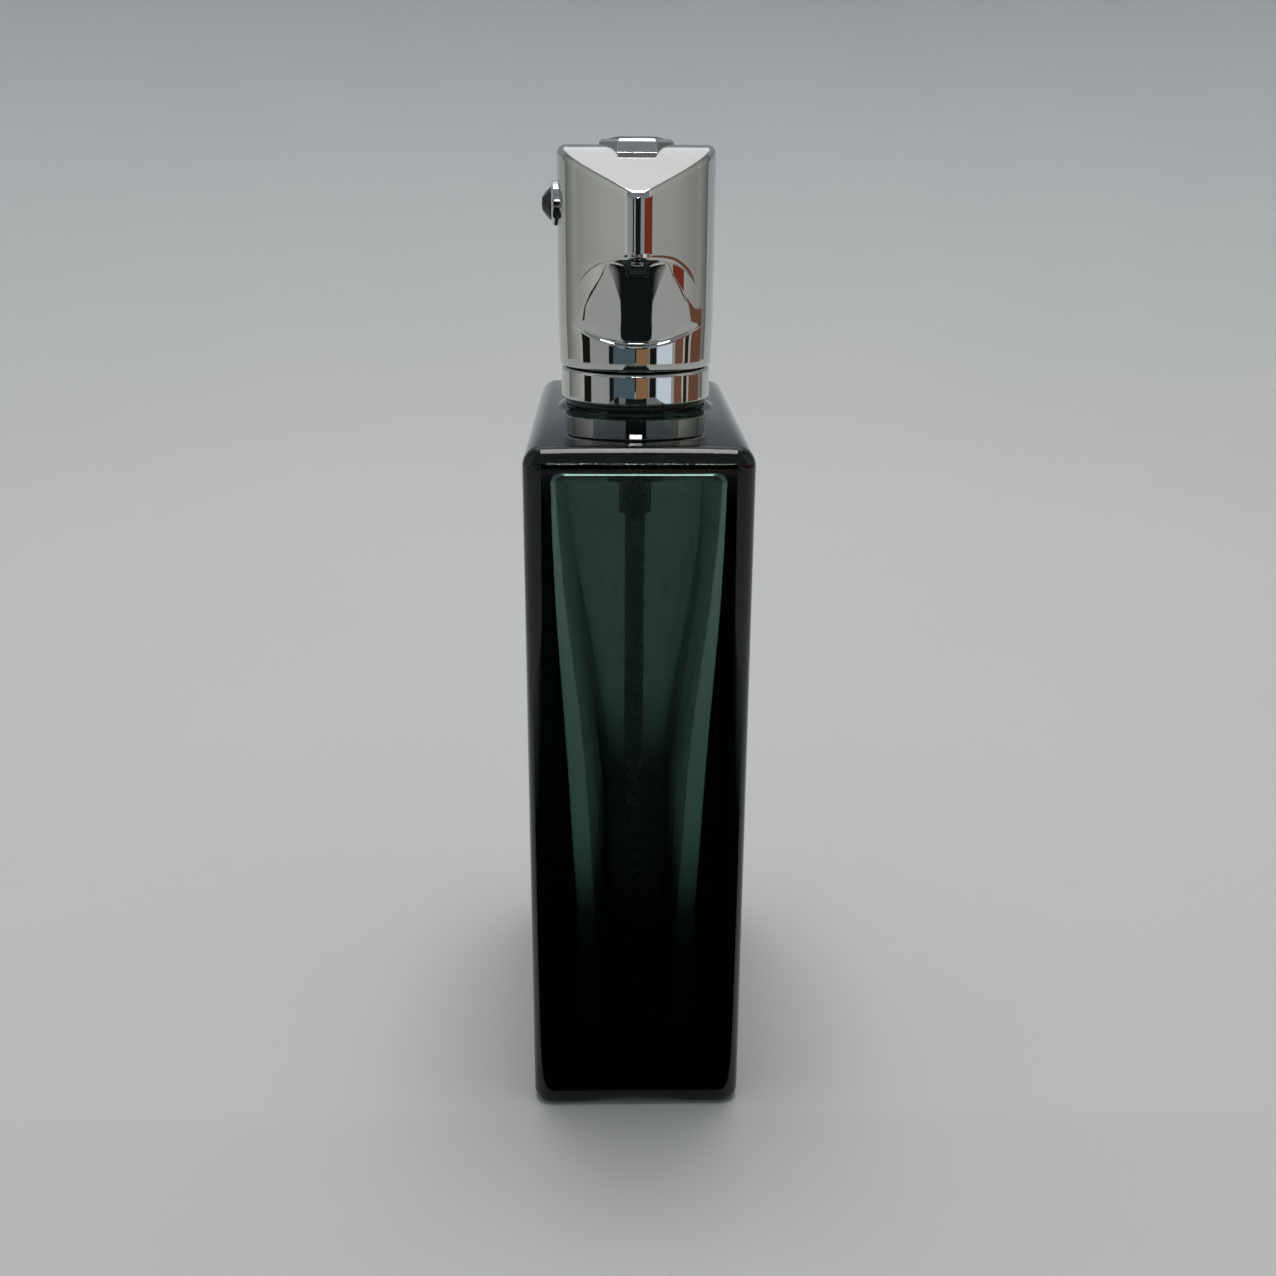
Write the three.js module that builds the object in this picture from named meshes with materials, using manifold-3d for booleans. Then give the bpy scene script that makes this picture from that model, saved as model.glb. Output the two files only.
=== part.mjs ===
// A flat glass aftershave bottle with a crimped spray pump, a chrome collar and a chrome pull-off cap.
// Units are millimetres. +Z is up, the base rests on z = 0, and the pump's axis is the Z axis.
// The two wide faces look along X and the two narrow faces along Y. The front, with the small
// gem and the spray nozzle, looks along -X.

import * as THREE from "three";
import { mergeVertices } from "three/addons/utils/BufferGeometryUtils.js";
import Module from "manifold-3d";

const wasm = await Module();
wasm.setup();

// ---------------------------------------------------------------- driving dimensions

const gap = 0.1; // between neighbours that touch
const fineSides = 32; // sides of a large turned piece
const coarseSides = 24; // sides of a small turned piece

const bottle = {
  width: 30,
  depth: 62,
  shoulder: 97.6,
  edgeRadius: 2.6,
  heel: 1.6,
  wall: 3,
  floor: 8,
  archChord: 19,
  archRise: 0.7,
};

const neck = {
  base: 98.7,
  baseRadius: 10.4,
  top: 108.2,
  radius: 6.6,
  beadRadius: 7.5,
  beadHeight: 3.3,
  bore: 4.7,
};

const pump = {
  gasketHeight: 0.8,
  flangeHeight: 0.8,
  flangeRadius: 7,
  barrelRadius: 4.2,
  chamberRadius: 2.9,
  chamberBottom: 91.6,
  chamberTop: 105.8,
  ballRadius: 1.2,
  tailRadius: 2.4,
  tailBottom: 82.5,
  tubeSocketTop: 89,
  tubeRadius: 1.5,
  tubeBore: 1,
  stemRadius: 1.65,
  waistRadius: 1.05, // of the stem where the piston slides
  stemBore: 0.8,
  runningClearance: 0.05,
  springWire: 0.5,
  springCoils: 6,
};

const ferrule = { metal: 0.35, bossRadius: 5.35, bossTop: 112.35, plateTop: 110.35 };

const collar = {
  bottom: 99.5,
  ringTop: 104.1,
  ringRadius: 10.7,
  sleeveRadius: 9,
  sleeveTop: 115,
  mouthRadius: 7.3,
  insertRadius: 8.75,
  insertBore: 8.1,
  insertFlangeRadius: 10.15,
};

const actuator = {
  skirtBottom: 114.45,
  top: 122,
  radius: 6.9,
  metal: 0.35,
  nozzleHeight: 118.6,
  nozzleRadius: 1.9,
};

const cap = {
  bottom: 104.6,
  bandRadius: 10.9,
  towerRadius: 11.05,
  flatAngle: 49, // degrees from the Y axis to the normal of a front or rear flat
  tipRadius: 3.2,
  bandTop: 108.2,
  scoopCentre: 111.1,
  scoopHeight: 8.5,
  scoopAngle: 54, // degrees from the Y axis to the side of a scoop
  scoopPower: 2.5, // of the superellipse that outlines a scoop: 2 is an ellipse, more is squarer
  ridge: 134.2,
  ridgeHalfLength: 2.5,
  roofDrop: 6.2,
  bore: 9.95,
  boreTop: 127.95,
};

const liner = { bore: 9.1, ceiling: 127, bottom: 104.2 };

const sideBezel = { height: 126.3, radius: 3.1, proud: 0.75, seat: 0.45 };
const sideGem = { radius: 2.25, table: 0.9, height: 1.25 };
const topBezel = { radius: 5.55, height: 0.7, seat: 1.4 };
const topGem = { radius: 4.35, table: 3, height: 0.7 };

// ---------------------------------------------------------------- making solids

// The solid of a closed three.js geometry.
function solidOf(geometry) {
  const bare = geometry.clone();
  bare.deleteAttribute("normal");
  bare.deleteAttribute("uv");
  const merged = mergeVertices(bare, 1e-4);
  const vertProperties = new Float32Array(merged.attributes.position.array);
  const triVerts = new Uint32Array(merged.index.array);
  return new wasm.Manifold(new wasm.Mesh({ numProp: 3, vertProperties, triVerts }));
}

// A solid's surface as a three.js geometry.
function geometryOf(solid) {
  const { numProp, vertProperties, triVerts } = solid.getMesh();
  const geometry = new THREE.BufferGeometry();
  geometry.setAttribute("position", new THREE.BufferAttribute(vertProperties, numProp));
  geometry.setIndex(new THREE.BufferAttribute(triVerts, 1));
  geometry.computeVertexNormals();
  return geometry;
}

// A turned solid about Z. outline is a closed polygon of [radius, height] points, in either order.
function turned(outline, sides = coarseSides) {
  let area = 0;
  outline.forEach(([r, z], i) => {
    const [nextR, nextZ] = outline[(i + 1) % outline.length];
    area += r * nextZ - nextR * z;
  });
  const ordered = area > 0 ? outline : [...outline].reverse();
  const closed = [...ordered, ordered[0]];
  const profile = closed.map(([r, z]) => new THREE.Vector2(r, z));
  const lathe = new THREE.LatheGeometry(profile, sides);
  lathe.rotateX(Math.PI / 2);
  return solidOf(lathe);
}

// A turned ring or disc of one rectangular section.
function ring(inner, outer, bottom, top, sides = coarseSides) {
  const outline = [
    [inner, bottom],
    [outer, bottom],
    [outer, top],
    [inner, top],
  ];
  return turned(outline, sides);
}

// A closed surface through rings of points that all have the same count, from the bottom up.
function loft(rings) {
  const count = rings[0].length;
  const points = rings.flat();
  const middle = (row) => {
    const sum = row.reduce((total, point) => total.add(point), new THREE.Vector3());
    return sum.divideScalar(count);
  };
  const low = points.push(middle(rings[0])) - 1;
  const high = points.push(middle(rings[rings.length - 1])) - 1;
  const index = [];
  const last = (rings.length - 1) * count;
  for (let i = 0; i < count; i += 1) {
    const next = (i + 1) % count;
    index.push(low, next, i);
    index.push(high, last + i, last + next);
    for (let row = 0; row < last; row += count) {
      index.push(row + i, row + next, row + count + next);
      index.push(row + i, row + count + next, row + count + i);
    }
  }
  const geometry = new THREE.BufferGeometry().setFromPoints(points);
  geometry.setIndex(index);
  return solidOf(geometry);
}

// The points of a rounded rectangle at one height, anticlockwise from above.
function roundedRectangle(width, depth, radius, z) {
  const arcSteps = 4;
  const sideSteps = 4;
  const corners = [
    [1, 1],
    [-1, 1],
    [-1, -1],
    [1, -1],
  ];
  const arcs = corners.map(([x, y], quarter) => {
    const centre = new THREE.Vector2(x * (width / 2 - radius), y * (depth / 2 - radius));
    const arc = [];
    for (let step = 0; step <= arcSteps; step += 1) {
      const angle = ((quarter + step / arcSteps) * Math.PI) / 2;
      const px = centre.x + radius * Math.cos(angle);
      const py = centre.y + radius * Math.sin(angle);
      arc.push(new THREE.Vector3(px, py, z));
    }
    return arc;
  });
  const points = [];
  arcs.forEach((arc, i) => {
    points.push(...arc);
    const from = arc[arcSteps];
    const to = arcs[(i + 1) % arcs.length][0];
    for (let step = 1; step < sideSteps; step += 1) {
      points.push(from.clone().lerp(to, step / sideSteps));
    }
  });
  return points;
}

// ---------------------------------------------------------------- glass

// A box with rounded edges whose top rises from its edge in a shallow crown.
// rows lists [inset from the outer wall, height, corner radius] from the bottom up.
function crownedBox(rows) {
  const rings = rows.map(([inset, z, radius]) => {
    return roundedRectangle(bottle.width - 2 * inset, bottle.depth - 2 * inset, radius, z);
  });
  return loft(rings);
}

function glassOuter() {
  const { edgeRadius: edge, heel, shoulder } = bottle;
  const crownInset = bottle.width / 2 - neck.baseRadius;
  const rise = neck.base - shoulder;
  return crownedBox([
    [heel, 0, edge],
    [heel * 0.3, heel * 0.3, edge],
    [0, heel, edge],
    [0, shoulder - edge, edge],
    [edge * 0.3, shoulder - edge * 0.3, edge],
    [edge * 0.85, shoulder + rise * 0.15, edge],
    [crownInset, neck.base, edge],
  ]);
}

function glassCavity() {
  const { wall, floor, shoulder } = bottle;
  const rise = neck.base - shoulder;
  return crownedBox([
    [wall + 3, floor, 3],
    [wall + 0.9, floor + 0.9, 3],
    [wall, floor + 3, 3],
    [wall, shoulder - 7.5, 3],
    [wall + 1.4, shoulder - 5, 3],
    [wall + 4.6, shoulder - 4 + rise * 0.5, 3],
  ]);
}

// The shallow hollow along the underside, which leaves a flat rail along each wide face.
function baseArch() {
  const half = bottle.archChord / 2;
  const rise = bottle.archRise;
  const radius = (half * half + rise * rise) / (2 * rise);
  const halfAngle = Math.asin(half / radius);
  const outline = new THREE.Shape();
  outline.moveTo(-half, -1);
  outline.lineTo(half, -1);
  outline.lineTo(half, 0);
  outline.absarc(0, rise - radius, radius, Math.PI / 2 - halfAngle, Math.PI / 2 + halfAngle);
  const length = bottle.depth + 2;
  const bar = new THREE.ExtrudeGeometry(outline, {
    depth: length,
    bevelEnabled: false,
    curveSegments: 8,
  });
  bar.rotateX(Math.PI / 2);
  bar.translate(0, length / 2, 0);
  return solidOf(bar);
}

function glassNeck() {
  const { radius, beadRadius, beadHeight, top, base } = neck;
  const bead = top - beadHeight;
  const outline = [
    [0, base - 2],
    [radius + 1, base - 2],
    [radius + 1, base],
    [radius, base + 0.8],
    [radius, bead - 0.6],
    [beadRadius, bead],
    [beadRadius, top - 0.5],
    [beadRadius - 0.5, top],
    [0, top],
  ];
  return turned(outline, fineSides);
}

function glassBottle() {
  const body = glassOuter().add(glassNeck());
  const bore = ring(0, neck.bore, bottle.shoulder - 6, neck.top + 1, fineSides);
  return body.subtract(glassCavity()).subtract(bore).subtract(baseArch());
}

// ---------------------------------------------------------------- pump

const gasketTop = neck.top + gap / 2 + pump.gasketHeight;
const flangeBottom = gasketTop + gap / 2;
const flangeTop = flangeBottom + pump.flangeHeight;
const pistonTop = pump.chamberTop - 1.2;
const pistonBottom = pistonTop - 2.6;
const stemBottom = pistonBottom - 1.6;
const stemTop = actuator.skirtBottom + 4.4;
const ballSeat = pump.tubeSocketTop + 0.6;
const ballRise = 1.25; // from the seat to the middle of the ball

function neckGasket() {
  return ring(neck.bore + 0.3, neck.beadRadius - 0.2, neck.top + gap / 2, gasketTop, fineSides);
}

// A thin aluminium cup rolled under the neck's bead, with a raised boss round the stem.
function crimpFerrule() {
  const { metal, bossRadius, bossTop, plateTop } = ferrule;
  const skirt = neck.beadRadius + gap;
  const bead = neck.top - neck.beadHeight;
  return turned(
    [
      [neck.radius + gap, bead - 1.3],
      [neck.radius + gap + metal, bead - 1.3],
      [skirt + metal, bead - 0.3],
      [skirt + metal, plateTop - 0.3],
      [skirt + metal - 0.3, plateTop],
      [bossRadius, plateTop],
      [bossRadius, bossTop - 0.3],
      [bossRadius - 0.3, bossTop],
      [3.6, bossTop],
      [3.6, bossTop - metal],
      [bossRadius - metal, bossTop - metal],
      [bossRadius - metal, plateTop - metal],
      [skirt, plateTop - metal],
      [skirt, bead],
      [neck.radius + gap, bead - 0.8],
    ],
    fineSides,
  );
}

// The pump's body: a flange on the gasket, the measuring chamber, the ball seat and the tube socket.
function pumpHousing() {
  const { chamberRadius, chamberBottom, chamberTop, ballRadius, tubeRadius } = pump;
  return turned([
    [chamberRadius + 0.5, flangeTop],
    [pump.flangeRadius, flangeTop],
    [pump.flangeRadius, flangeBottom],
    [pump.barrelRadius, flangeBottom],
    [pump.barrelRadius, chamberBottom],
    [pump.tailRadius, chamberBottom - 2.4],
    [pump.tailRadius, pump.tailBottom],
    [tubeRadius + gap, pump.tailBottom],
    [tubeRadius + gap, pump.tubeSocketTop],
    [0.7, pump.tubeSocketTop],
    [0.7, ballSeat],
    [ballRadius + 0.15, ballSeat + 0.9],
    [ballRadius + 0.15, chamberBottom],
    [chamberRadius, chamberBottom],
    [chamberRadius, chamberTop],
    [chamberRadius + 0.5, chamberTop],
  ]);
}

function inletBall() {
  const ball = new THREE.SphereGeometry(pump.ballRadius, 12, 8);
  ball.rotateX(Math.PI / 2);
  ball.translate(0, 0, ballSeat + ballRise);
  return solidOf(ball);
}

function stemSeal() {
  const bore = pump.stemRadius + pump.runningClearance;
  const outer = pump.chamberRadius + 0.5 - gap;
  return ring(bore, outer, pump.chamberTop + gap / 2, pump.chamberTop + 0.7);
}

// The plug that holds the seal down and guides the stem.
function pumpTurret() {
  const bore = pump.stemRadius + pump.runningClearance;
  const skirt = pump.chamberRadius + 0.5 - gap;
  const head = ferrule.bossRadius - ferrule.metal - gap;
  const headTop = ferrule.bossTop - ferrule.metal - gap;
  return turned([
    [bore, pump.chamberTop + 0.8],
    [skirt, pump.chamberTop + 0.8],
    [skirt, flangeTop + gap / 2],
    [head, flangeTop + gap / 2],
    [head, headTop],
    [3.4, headTop],
    [3.2, headTop + 0.6],
    [bore, headTop + 0.6],
  ]);
}

// The hollow stem: a foot below the piston, cross holes above the foot, and a tube up to the button.
function pumpStem() {
  const outer = turned([
    [0, stemBottom],
    [0.9, stemBottom],
    [1.9, stemBottom + 0.6],
    [1.9, pistonBottom - gap / 2],
    [pump.waistRadius, pistonBottom - gap / 2],
    [pump.waistRadius, pistonTop + 0.55],
    [pump.stemRadius, pistonTop + 0.55],
    [pump.stemRadius, stemTop],
    [0, stemTop],
  ]);
  const bore = ring(0, pump.stemBore - 0.2, pistonBottom + 0.7, stemTop + 1);
  const crossHole = ring(0, 0.3, -2, 2, 8).rotate([0, 90, 0]);
  return outer.subtract(bore).subtract(crossHole.translate([0, 0, pistonBottom + 1]));
}

// A soft piston with a thin lip at each end, which slides a little way along the stem.
function pumpPiston() {
  const wiper = pump.chamberRadius - pump.runningClearance;
  const bore = pump.waistRadius + pump.runningClearance;
  return turned([
    [bore, pistonBottom],
    [1.8, pistonBottom],
    [2.2, pistonBottom + 0.7],
    [wiper - 0.3, pistonBottom],
    [wiper, pistonBottom],
    [wiper - 0.15, pistonBottom + 1.3],
    [wiper, pistonTop],
    [wiper - 0.3, pistonTop],
    [2.2, pistonTop - 0.7],
    [1.8, pistonTop],
    [bore, pistonTop],
  ]);
}

class Helix extends THREE.Curve {
  constructor(radius, bottom, top, coils) {
    super();
    Object.assign(this, { radius, bottom, top, coils });
  }

  getPoint(t, target = new THREE.Vector3()) {
    const angle = 2 * Math.PI * this.coils * t;
    const z = this.bottom + (this.top - this.bottom) * t;
    return target.set(this.radius * Math.cos(angle), this.radius * Math.sin(angle), z);
  }
}

// A round or annular section swept along a curve.
function swept(curve, radius, bore, steps, sides) {
  const section = new THREE.Shape().absarc(0, 0, radius, 0, 2 * Math.PI);
  if (bore) section.holes.push(new THREE.Path().absarc(0, 0, bore, 0, 2 * Math.PI, true));
  const options = { steps, extrudePath: curve, curveSegments: sides };
  return solidOf(new THREE.ExtrudeGeometry(section, options));
}

function mainSpring() {
  const wire = pump.springWire / 2;
  const radius = pump.chamberRadius - wire - 0.2;
  const bottom = pump.chamberBottom + wire + gap;
  const top = stemBottom - wire - gap;
  const coil = new Helix(radius, bottom, top, pump.springCoils);
  return swept(coil, wire, 0, 12 * pump.springCoils, 6);
}

// The tube hangs straight from its socket, then bows towards the rear narrow face.
function dipTube() {
  const top = pump.tubeSocketTop - gap;
  const points = [
    new THREE.Vector3(0, 0, top),
    new THREE.Vector3(0, 0, 84),
    new THREE.Vector3(0, 0.3, 76),
    new THREE.Vector3(0, 3, 52),
    new THREE.Vector3(0, 7.6, 30),
    new THREE.Vector3(0, 14.5, bottle.floor + 2),
  ];
  const route = new THREE.CatmullRomCurve3(points);
  return swept(route, pump.tubeRadius, pump.tubeBore, 16, 6);
}

// ---------------------------------------------------------------- collar

// The plastic core gripping the ferrule, whose flange shows as a thin dark ring on the glass.
function collarInsert() {
  const { insertBore, insertRadius, insertFlangeRadius, bottom, sleeveTop } = collar;
  const flange = bottom - gap / 2;
  return turned(
    [
      [insertBore, neck.base + gap / 2],
      [insertFlangeRadius, neck.base + gap / 2],
      [insertFlangeRadius, flange],
      [insertRadius, flange],
      [insertRadius, sleeveTop - 1.2],
      [insertBore, sleeveTop - 1.2],
    ],
    fineSides,
  );
}

function collarShell() {
  const { bottom, ringTop, ringRadius, sleeveRadius, sleeveTop, mouthRadius, insertRadius } = collar;
  const bore = insertRadius + gap;
  const chamfer = 0.35;
  return turned(
    [
      [bore, bottom],
      [ringRadius - chamfer, bottom],
      [ringRadius, bottom + chamfer],
      [ringRadius, ringTop - chamfer],
      [ringRadius - chamfer, ringTop],
      [sleeveRadius, ringTop],
      [sleeveRadius, sleeveTop - chamfer],
      [sleeveRadius - chamfer, sleeveTop],
      [mouthRadius, sleeveTop],
      [mouthRadius, sleeveTop - 1.1],
      [bore, sleeveTop - 1.1],
    ],
    fineSides,
  );
}

// ---------------------------------------------------------------- actuator

const buttonRadius = actuator.radius - actuator.metal - gap;

function actuatorButton() {
  const { skirtBottom, top, metal, nozzleHeight, nozzleRadius } = actuator;
  const socket = pump.stemRadius + gap;
  const body = turned([
    [0, skirtBottom + 2.6],
    [buttonRadius - 0.9, skirtBottom + 2.6],
    [buttonRadius - 0.9, skirtBottom + 0.2],
    [buttonRadius, skirtBottom + 0.2],
    [buttonRadius, top - metal - gap],
    [0, top - metal - gap],
  ]);
  const stemSocket = ring(0, socket, skirtBottom, stemTop + gap);
  const channel = ring(0, 0.5, 0, buttonRadius - 1, 12).rotate([0, -90, 0]);
  const recess = ring(0, nozzleRadius + gap, buttonRadius - 2.2, buttonRadius + 1, 16);
  return body
    .subtract(stemSocket)
    .subtract(channel.translate([0, 0, nozzleHeight]))
    .subtract(recess.rotate([0, -90, 0]).translate([0, 0, nozzleHeight]));
}

// The bright metal cup over the button, with a window for the nozzle.
function actuatorShell() {
  const { skirtBottom, top, radius, metal, nozzleHeight, nozzleRadius } = actuator;
  const shell = turned(
    [
      [0, top],
      [radius - 0.5, top],
      [radius, top - 0.5],
      [radius, skirtBottom],
      [radius - metal, skirtBottom],
      [radius - metal, top - metal - gap / 2],
      [0, top - metal - gap / 2],
    ],
    fineSides,
  );
  const window = ring(0, nozzleRadius + gap, 2, radius + 1, 16).rotate([0, -90, 0]);
  return shell.subtract(window.translate([0, 0, nozzleHeight]));
}

// A small disc with a cone-shaped mouth round the spray orifice.
function nozzleInsert() {
  const front = actuator.radius - 0.15;
  const back = buttonRadius - 2;
  const disc = turned(
    [
      [0.15, back],
      [actuator.nozzleRadius, back],
      [actuator.nozzleRadius, front - 0.15],
      [actuator.nozzleRadius - 0.15, front],
      [0.9, front],
      [0.15, front - 0.6],
    ],
    16,
  );
  return disc.rotate([0, -90, 0]).translate([0, 0, actuator.nozzleHeight]);
}

// ---------------------------------------------------------------- cap

const radians = (degrees) => (degrees * Math.PI) / 180;

// The radius of the tower's plan at an angle from the nearer prow: a circle at the sides, two flats
// that touch it and run forward, and a round tip where the flats would meet.
function prowRadius(angle) {
  const flat = radians(cap.flatAngle);
  if (angle >= flat) return cap.towerRadius;
  const tipCentre = (cap.towerRadius - cap.tipRadius) / Math.cos(flat);
  const tipEdge = cap.tipRadius * Math.sin(flat);
  const tipEnd = Math.atan2(tipEdge, tipCentre + cap.tipRadius * Math.cos(flat));
  if (angle >= tipEnd) return cap.towerRadius / Math.cos(flat - angle);
  const across = tipCentre * Math.sin(angle);
  return tipCentre * Math.cos(angle) + Math.sqrt(cap.tipRadius ** 2 - across ** 2);
}

// The cap's outer radius: a plain band, a scoop under each prow, and the full tower above.
function capRadius(angle, z) {
  const across = Math.sin(angle) / Math.sin(radians(cap.scoopAngle));
  const up = Math.max(0, z - cap.scoopCentre) / cap.scoopHeight;
  const power = cap.scoopPower;
  const spread = Math.min(1, (across ** power + up ** power) ** (1 / power));
  const blend = THREE.MathUtils.smoothstep(z, cap.bandTop, cap.scoopCentre);
  const share = (1 - Math.sqrt(1 - spread ** 2)) * blend;
  const full = prowRadius(angle);
  const tower = THREE.MathUtils.lerp(cap.bandRadius, full, share);
  return z <= cap.bandTop ? cap.bandRadius : tower;
}

function capBody() {
  const steps = 80;
  const scoopRows = 12;
  const heights = [cap.bottom, cap.bandTop, (cap.bandTop + cap.scoopCentre) / 2];
  for (let row = 0; row <= scoopRows; row += 1) {
    const rise = Math.sin((row / scoopRows) * (Math.PI / 2));
    heights.push(cap.scoopCentre + cap.scoopHeight * rise);
  }
  heights.push(cap.ridge + 2);
  const rings = heights.map((z) => {
    const points = [];
    for (let step = 0; step < steps; step += 1) {
      const turn = (step / steps) * 2 * Math.PI;
      const x = Math.sin(-turn);
      const y = Math.cos(turn);
      const radius = capRadius(Math.atan2(Math.abs(x), Math.abs(y)), z);
      points.push(new THREE.Vector3(radius * x, radius * y, z));
    }
    return points;
  });
  return loft(rings);
}

// Everything under the roof: a flat ridge across the middle that falls away towards each prow.
function underRoof() {
  const reach = 20;
  const slope = cap.roofDrop / (prowRadius(0) - cap.ridgeHalfLength);
  const eaves = cap.ridge - slope * (reach - cap.ridgeHalfLength);
  const outline = new THREE.Shape([
    new THREE.Vector2(-reach, cap.bottom - 1),
    new THREE.Vector2(reach, cap.bottom - 1),
    new THREE.Vector2(reach, eaves),
    new THREE.Vector2(cap.ridgeHalfLength, cap.ridge),
    new THREE.Vector2(-cap.ridgeHalfLength, cap.ridge),
    new THREE.Vector2(-reach, eaves),
  ]);
  const prism = new THREE.ExtrudeGeometry(outline, { depth: 2 * reach, bevelEnabled: false });
  prism.translate(0, 0, -reach);
  prism.rotateX(Math.PI / 2);
  prism.rotateZ(Math.PI / 2);
  return solidOf(prism);
}

function hexagon(radius, bottom, top) {
  return ring(0, radius, bottom, top, 6).rotate([0, 0, 90]);
}

function capShell() {
  const bore = ring(0, cap.bore, cap.bottom - 1, cap.boreTop, fineSides);
  const gemSeat = ring(0, sideBezel.radius + gap, cap.towerRadius - sideBezel.seat - gap, 20);
  const roofSeat = hexagon(topBezel.radius + gap, cap.ridge - topBezel.seat - gap, cap.ridge + 2);
  return capBody()
    .intersect(underRoof())
    .subtract(bore)
    .subtract(gemSeat.rotate([0, -90, 0]).translate([0, 0, sideBezel.height]))
    .subtract(roofSeat);
}

// A plastic cup inside the shell that grips the collar's sleeve.
function capLiner() {
  const outer = cap.bore - gap;
  const top = cap.boreTop - gap;
  return turned(
    [
      [liner.bore + 0.35, liner.bottom],
      [cap.bore - 0.1, liner.bottom],
      [outer, liner.bottom + 0.4],
      [outer, top],
      [0, top],
      [0, liner.ceiling],
      [liner.bore - 1, liner.ceiling],
      [liner.bore, liner.ceiling - 1],
      [liner.bore, liner.bottom + 0.35],
    ],
    fineSides,
  );
}

// ---------------------------------------------------------------- gems

function sideBezelRing() {
  const back = cap.towerRadius - sideBezel.seat;
  const front = cap.towerRadius + sideBezel.proud;
  const opening = sideGem.radius + gap;
  const body = turned([
    [0, back],
    [sideBezel.radius, back],
    [sideBezel.radius, front - 0.3],
    [sideBezel.radius - 0.3, front],
    [opening, front],
    [opening, front - 0.4],
    [0, front - 0.4],
  ]);
  return body.rotate([0, -90, 0]).translate([0, 0, sideBezel.height]);
}

// A step-cut stone: a straight girdle, then facets up to a flat table.
function cutStone(radius, table, bottom, height, sides) {
  const girdle = bottom + height * 0.25;
  const outline = [
    [0, bottom],
    [radius, bottom],
    [radius, girdle],
    [(radius + table) / 2 + 0.15, girdle + (height * 0.75) / 2 + 0.05],
    [table, bottom + height],
    [0, bottom + height],
  ];
  return turned(outline, sides);
}

function sideGemStone() {
  const seat = cap.towerRadius + sideBezel.proud - 0.4 + gap;
  const stone = cutStone(sideGem.radius, sideGem.table, seat, sideGem.height + 0.4, 8);
  return stone.rotate([0, -90, 0]).translate([0, 0, sideBezel.height]);
}

function topBezelRing() {
  const bottom = cap.ridge - topBezel.seat;
  const top = cap.ridge + topBezel.height;
  const opening = topGem.radius + gap;
  const tapered = turned(
    [
      [0, bottom],
      [topBezel.radius, bottom],
      [topBezel.radius, top - 0.45],
      [topBezel.radius - 0.6, top],
      [opening, top],
      [opening, top - 0.5],
      [0, top - 0.5],
    ],
    6,
  );
  return tapered.rotate([0, 0, 90]);
}

function topGemStone() {
  const seat = cap.ridge + topBezel.height - 0.5 + gap;
  return cutStone(topGem.radius, topGem.table, seat, topGem.height, 6).rotate([0, 0, 90]);
}

// ---------------------------------------------------------------- assembly

const finishes = {
  darkGlass: { color: 0x1c2a28, roughness: 0.03, metalness: 0 },
  rubber: { color: 0x2a2a2a, roughness: 0.8, metalness: 0 },
  aluminium: { color: 0xc8c8c4, roughness: 0.35, metalness: 1 },
  clearPlastic: { color: 0xdfe0da, roughness: 0.4, metalness: 0 },
  whitePlastic: { color: 0xe9e8e2, roughness: 0.45, metalness: 0 },
  blackPlastic: { color: 0x0c0c0d, roughness: 0.4, metalness: 0 },
  steel: { color: 0xb4b4b2, roughness: 0.25, metalness: 1 },
  chrome: { color: 0xd9dad6, roughness: 0.05, metalness: 1 },
  stone: { color: 0x090a0c, roughness: 0.02, metalness: 0 },
};

const pieces = [
  ["glass_bottle", glassBottle, "darkGlass"],
  ["neck_gasket", neckGasket, "rubber"],
  ["crimp_ferrule", crimpFerrule, "aluminium"],
  ["pump_housing", pumpHousing, "clearPlastic"],
  ["inlet_ball", inletBall, "steel"],
  ["main_spring", mainSpring, "steel"],
  ["pump_piston", pumpPiston, "whitePlastic"],
  ["pump_stem", pumpStem, "whitePlastic"],
  ["stem_seal", stemSeal, "rubber"],
  ["pump_turret", pumpTurret, "whitePlastic"],
  ["dip_tube", dipTube, "clearPlastic"],
  ["collar_insert", collarInsert, "blackPlastic"],
  ["collar_shell", collarShell, "chrome"],
  ["actuator_button", actuatorButton, "blackPlastic"],
  ["actuator_shell", actuatorShell, "chrome"],
  ["nozzle_insert", nozzleInsert, "blackPlastic"],
  ["cap_shell", capShell, "chrome"],
  ["cap_liner", capLiner, "blackPlastic"],
  ["side_bezel", sideBezelRing, "chrome"],
  ["side_gem", sideGemStone, "stone"],
  ["top_bezel", topBezelRing, "chrome"],
  ["top_gem", topGemStone, "stone"],
];

const aftershaveBottle = new THREE.Group();
for (const [name, make, finish] of pieces) {
  const material = new THREE.MeshStandardMaterial(finishes[finish]);
  const mesh = new THREE.Mesh(geometryOf(make()), material);
  mesh.name = name;
  aftershaveBottle.add(mesh);
}

export default aftershaveBottle;
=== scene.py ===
from math import atan, atan2, cos, hypot, pi, radians, sin, sqrt, tan

import bpy
from mathutils import Matrix, Vector


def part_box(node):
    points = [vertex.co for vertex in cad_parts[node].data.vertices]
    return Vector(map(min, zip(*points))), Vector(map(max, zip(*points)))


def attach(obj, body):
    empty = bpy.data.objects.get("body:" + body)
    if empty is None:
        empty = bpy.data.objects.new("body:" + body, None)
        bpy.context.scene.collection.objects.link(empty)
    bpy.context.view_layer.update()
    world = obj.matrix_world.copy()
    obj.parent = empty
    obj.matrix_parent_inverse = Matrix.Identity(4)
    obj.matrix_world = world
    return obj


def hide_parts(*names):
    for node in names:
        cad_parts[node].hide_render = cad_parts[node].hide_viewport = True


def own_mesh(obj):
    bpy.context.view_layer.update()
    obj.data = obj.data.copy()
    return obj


# The looks of a flat glass aftershave bottle with a crimped spray pump, a chrome collar and a chrome
# cap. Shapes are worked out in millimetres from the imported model's boxes, and meshes are in metres.

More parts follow.
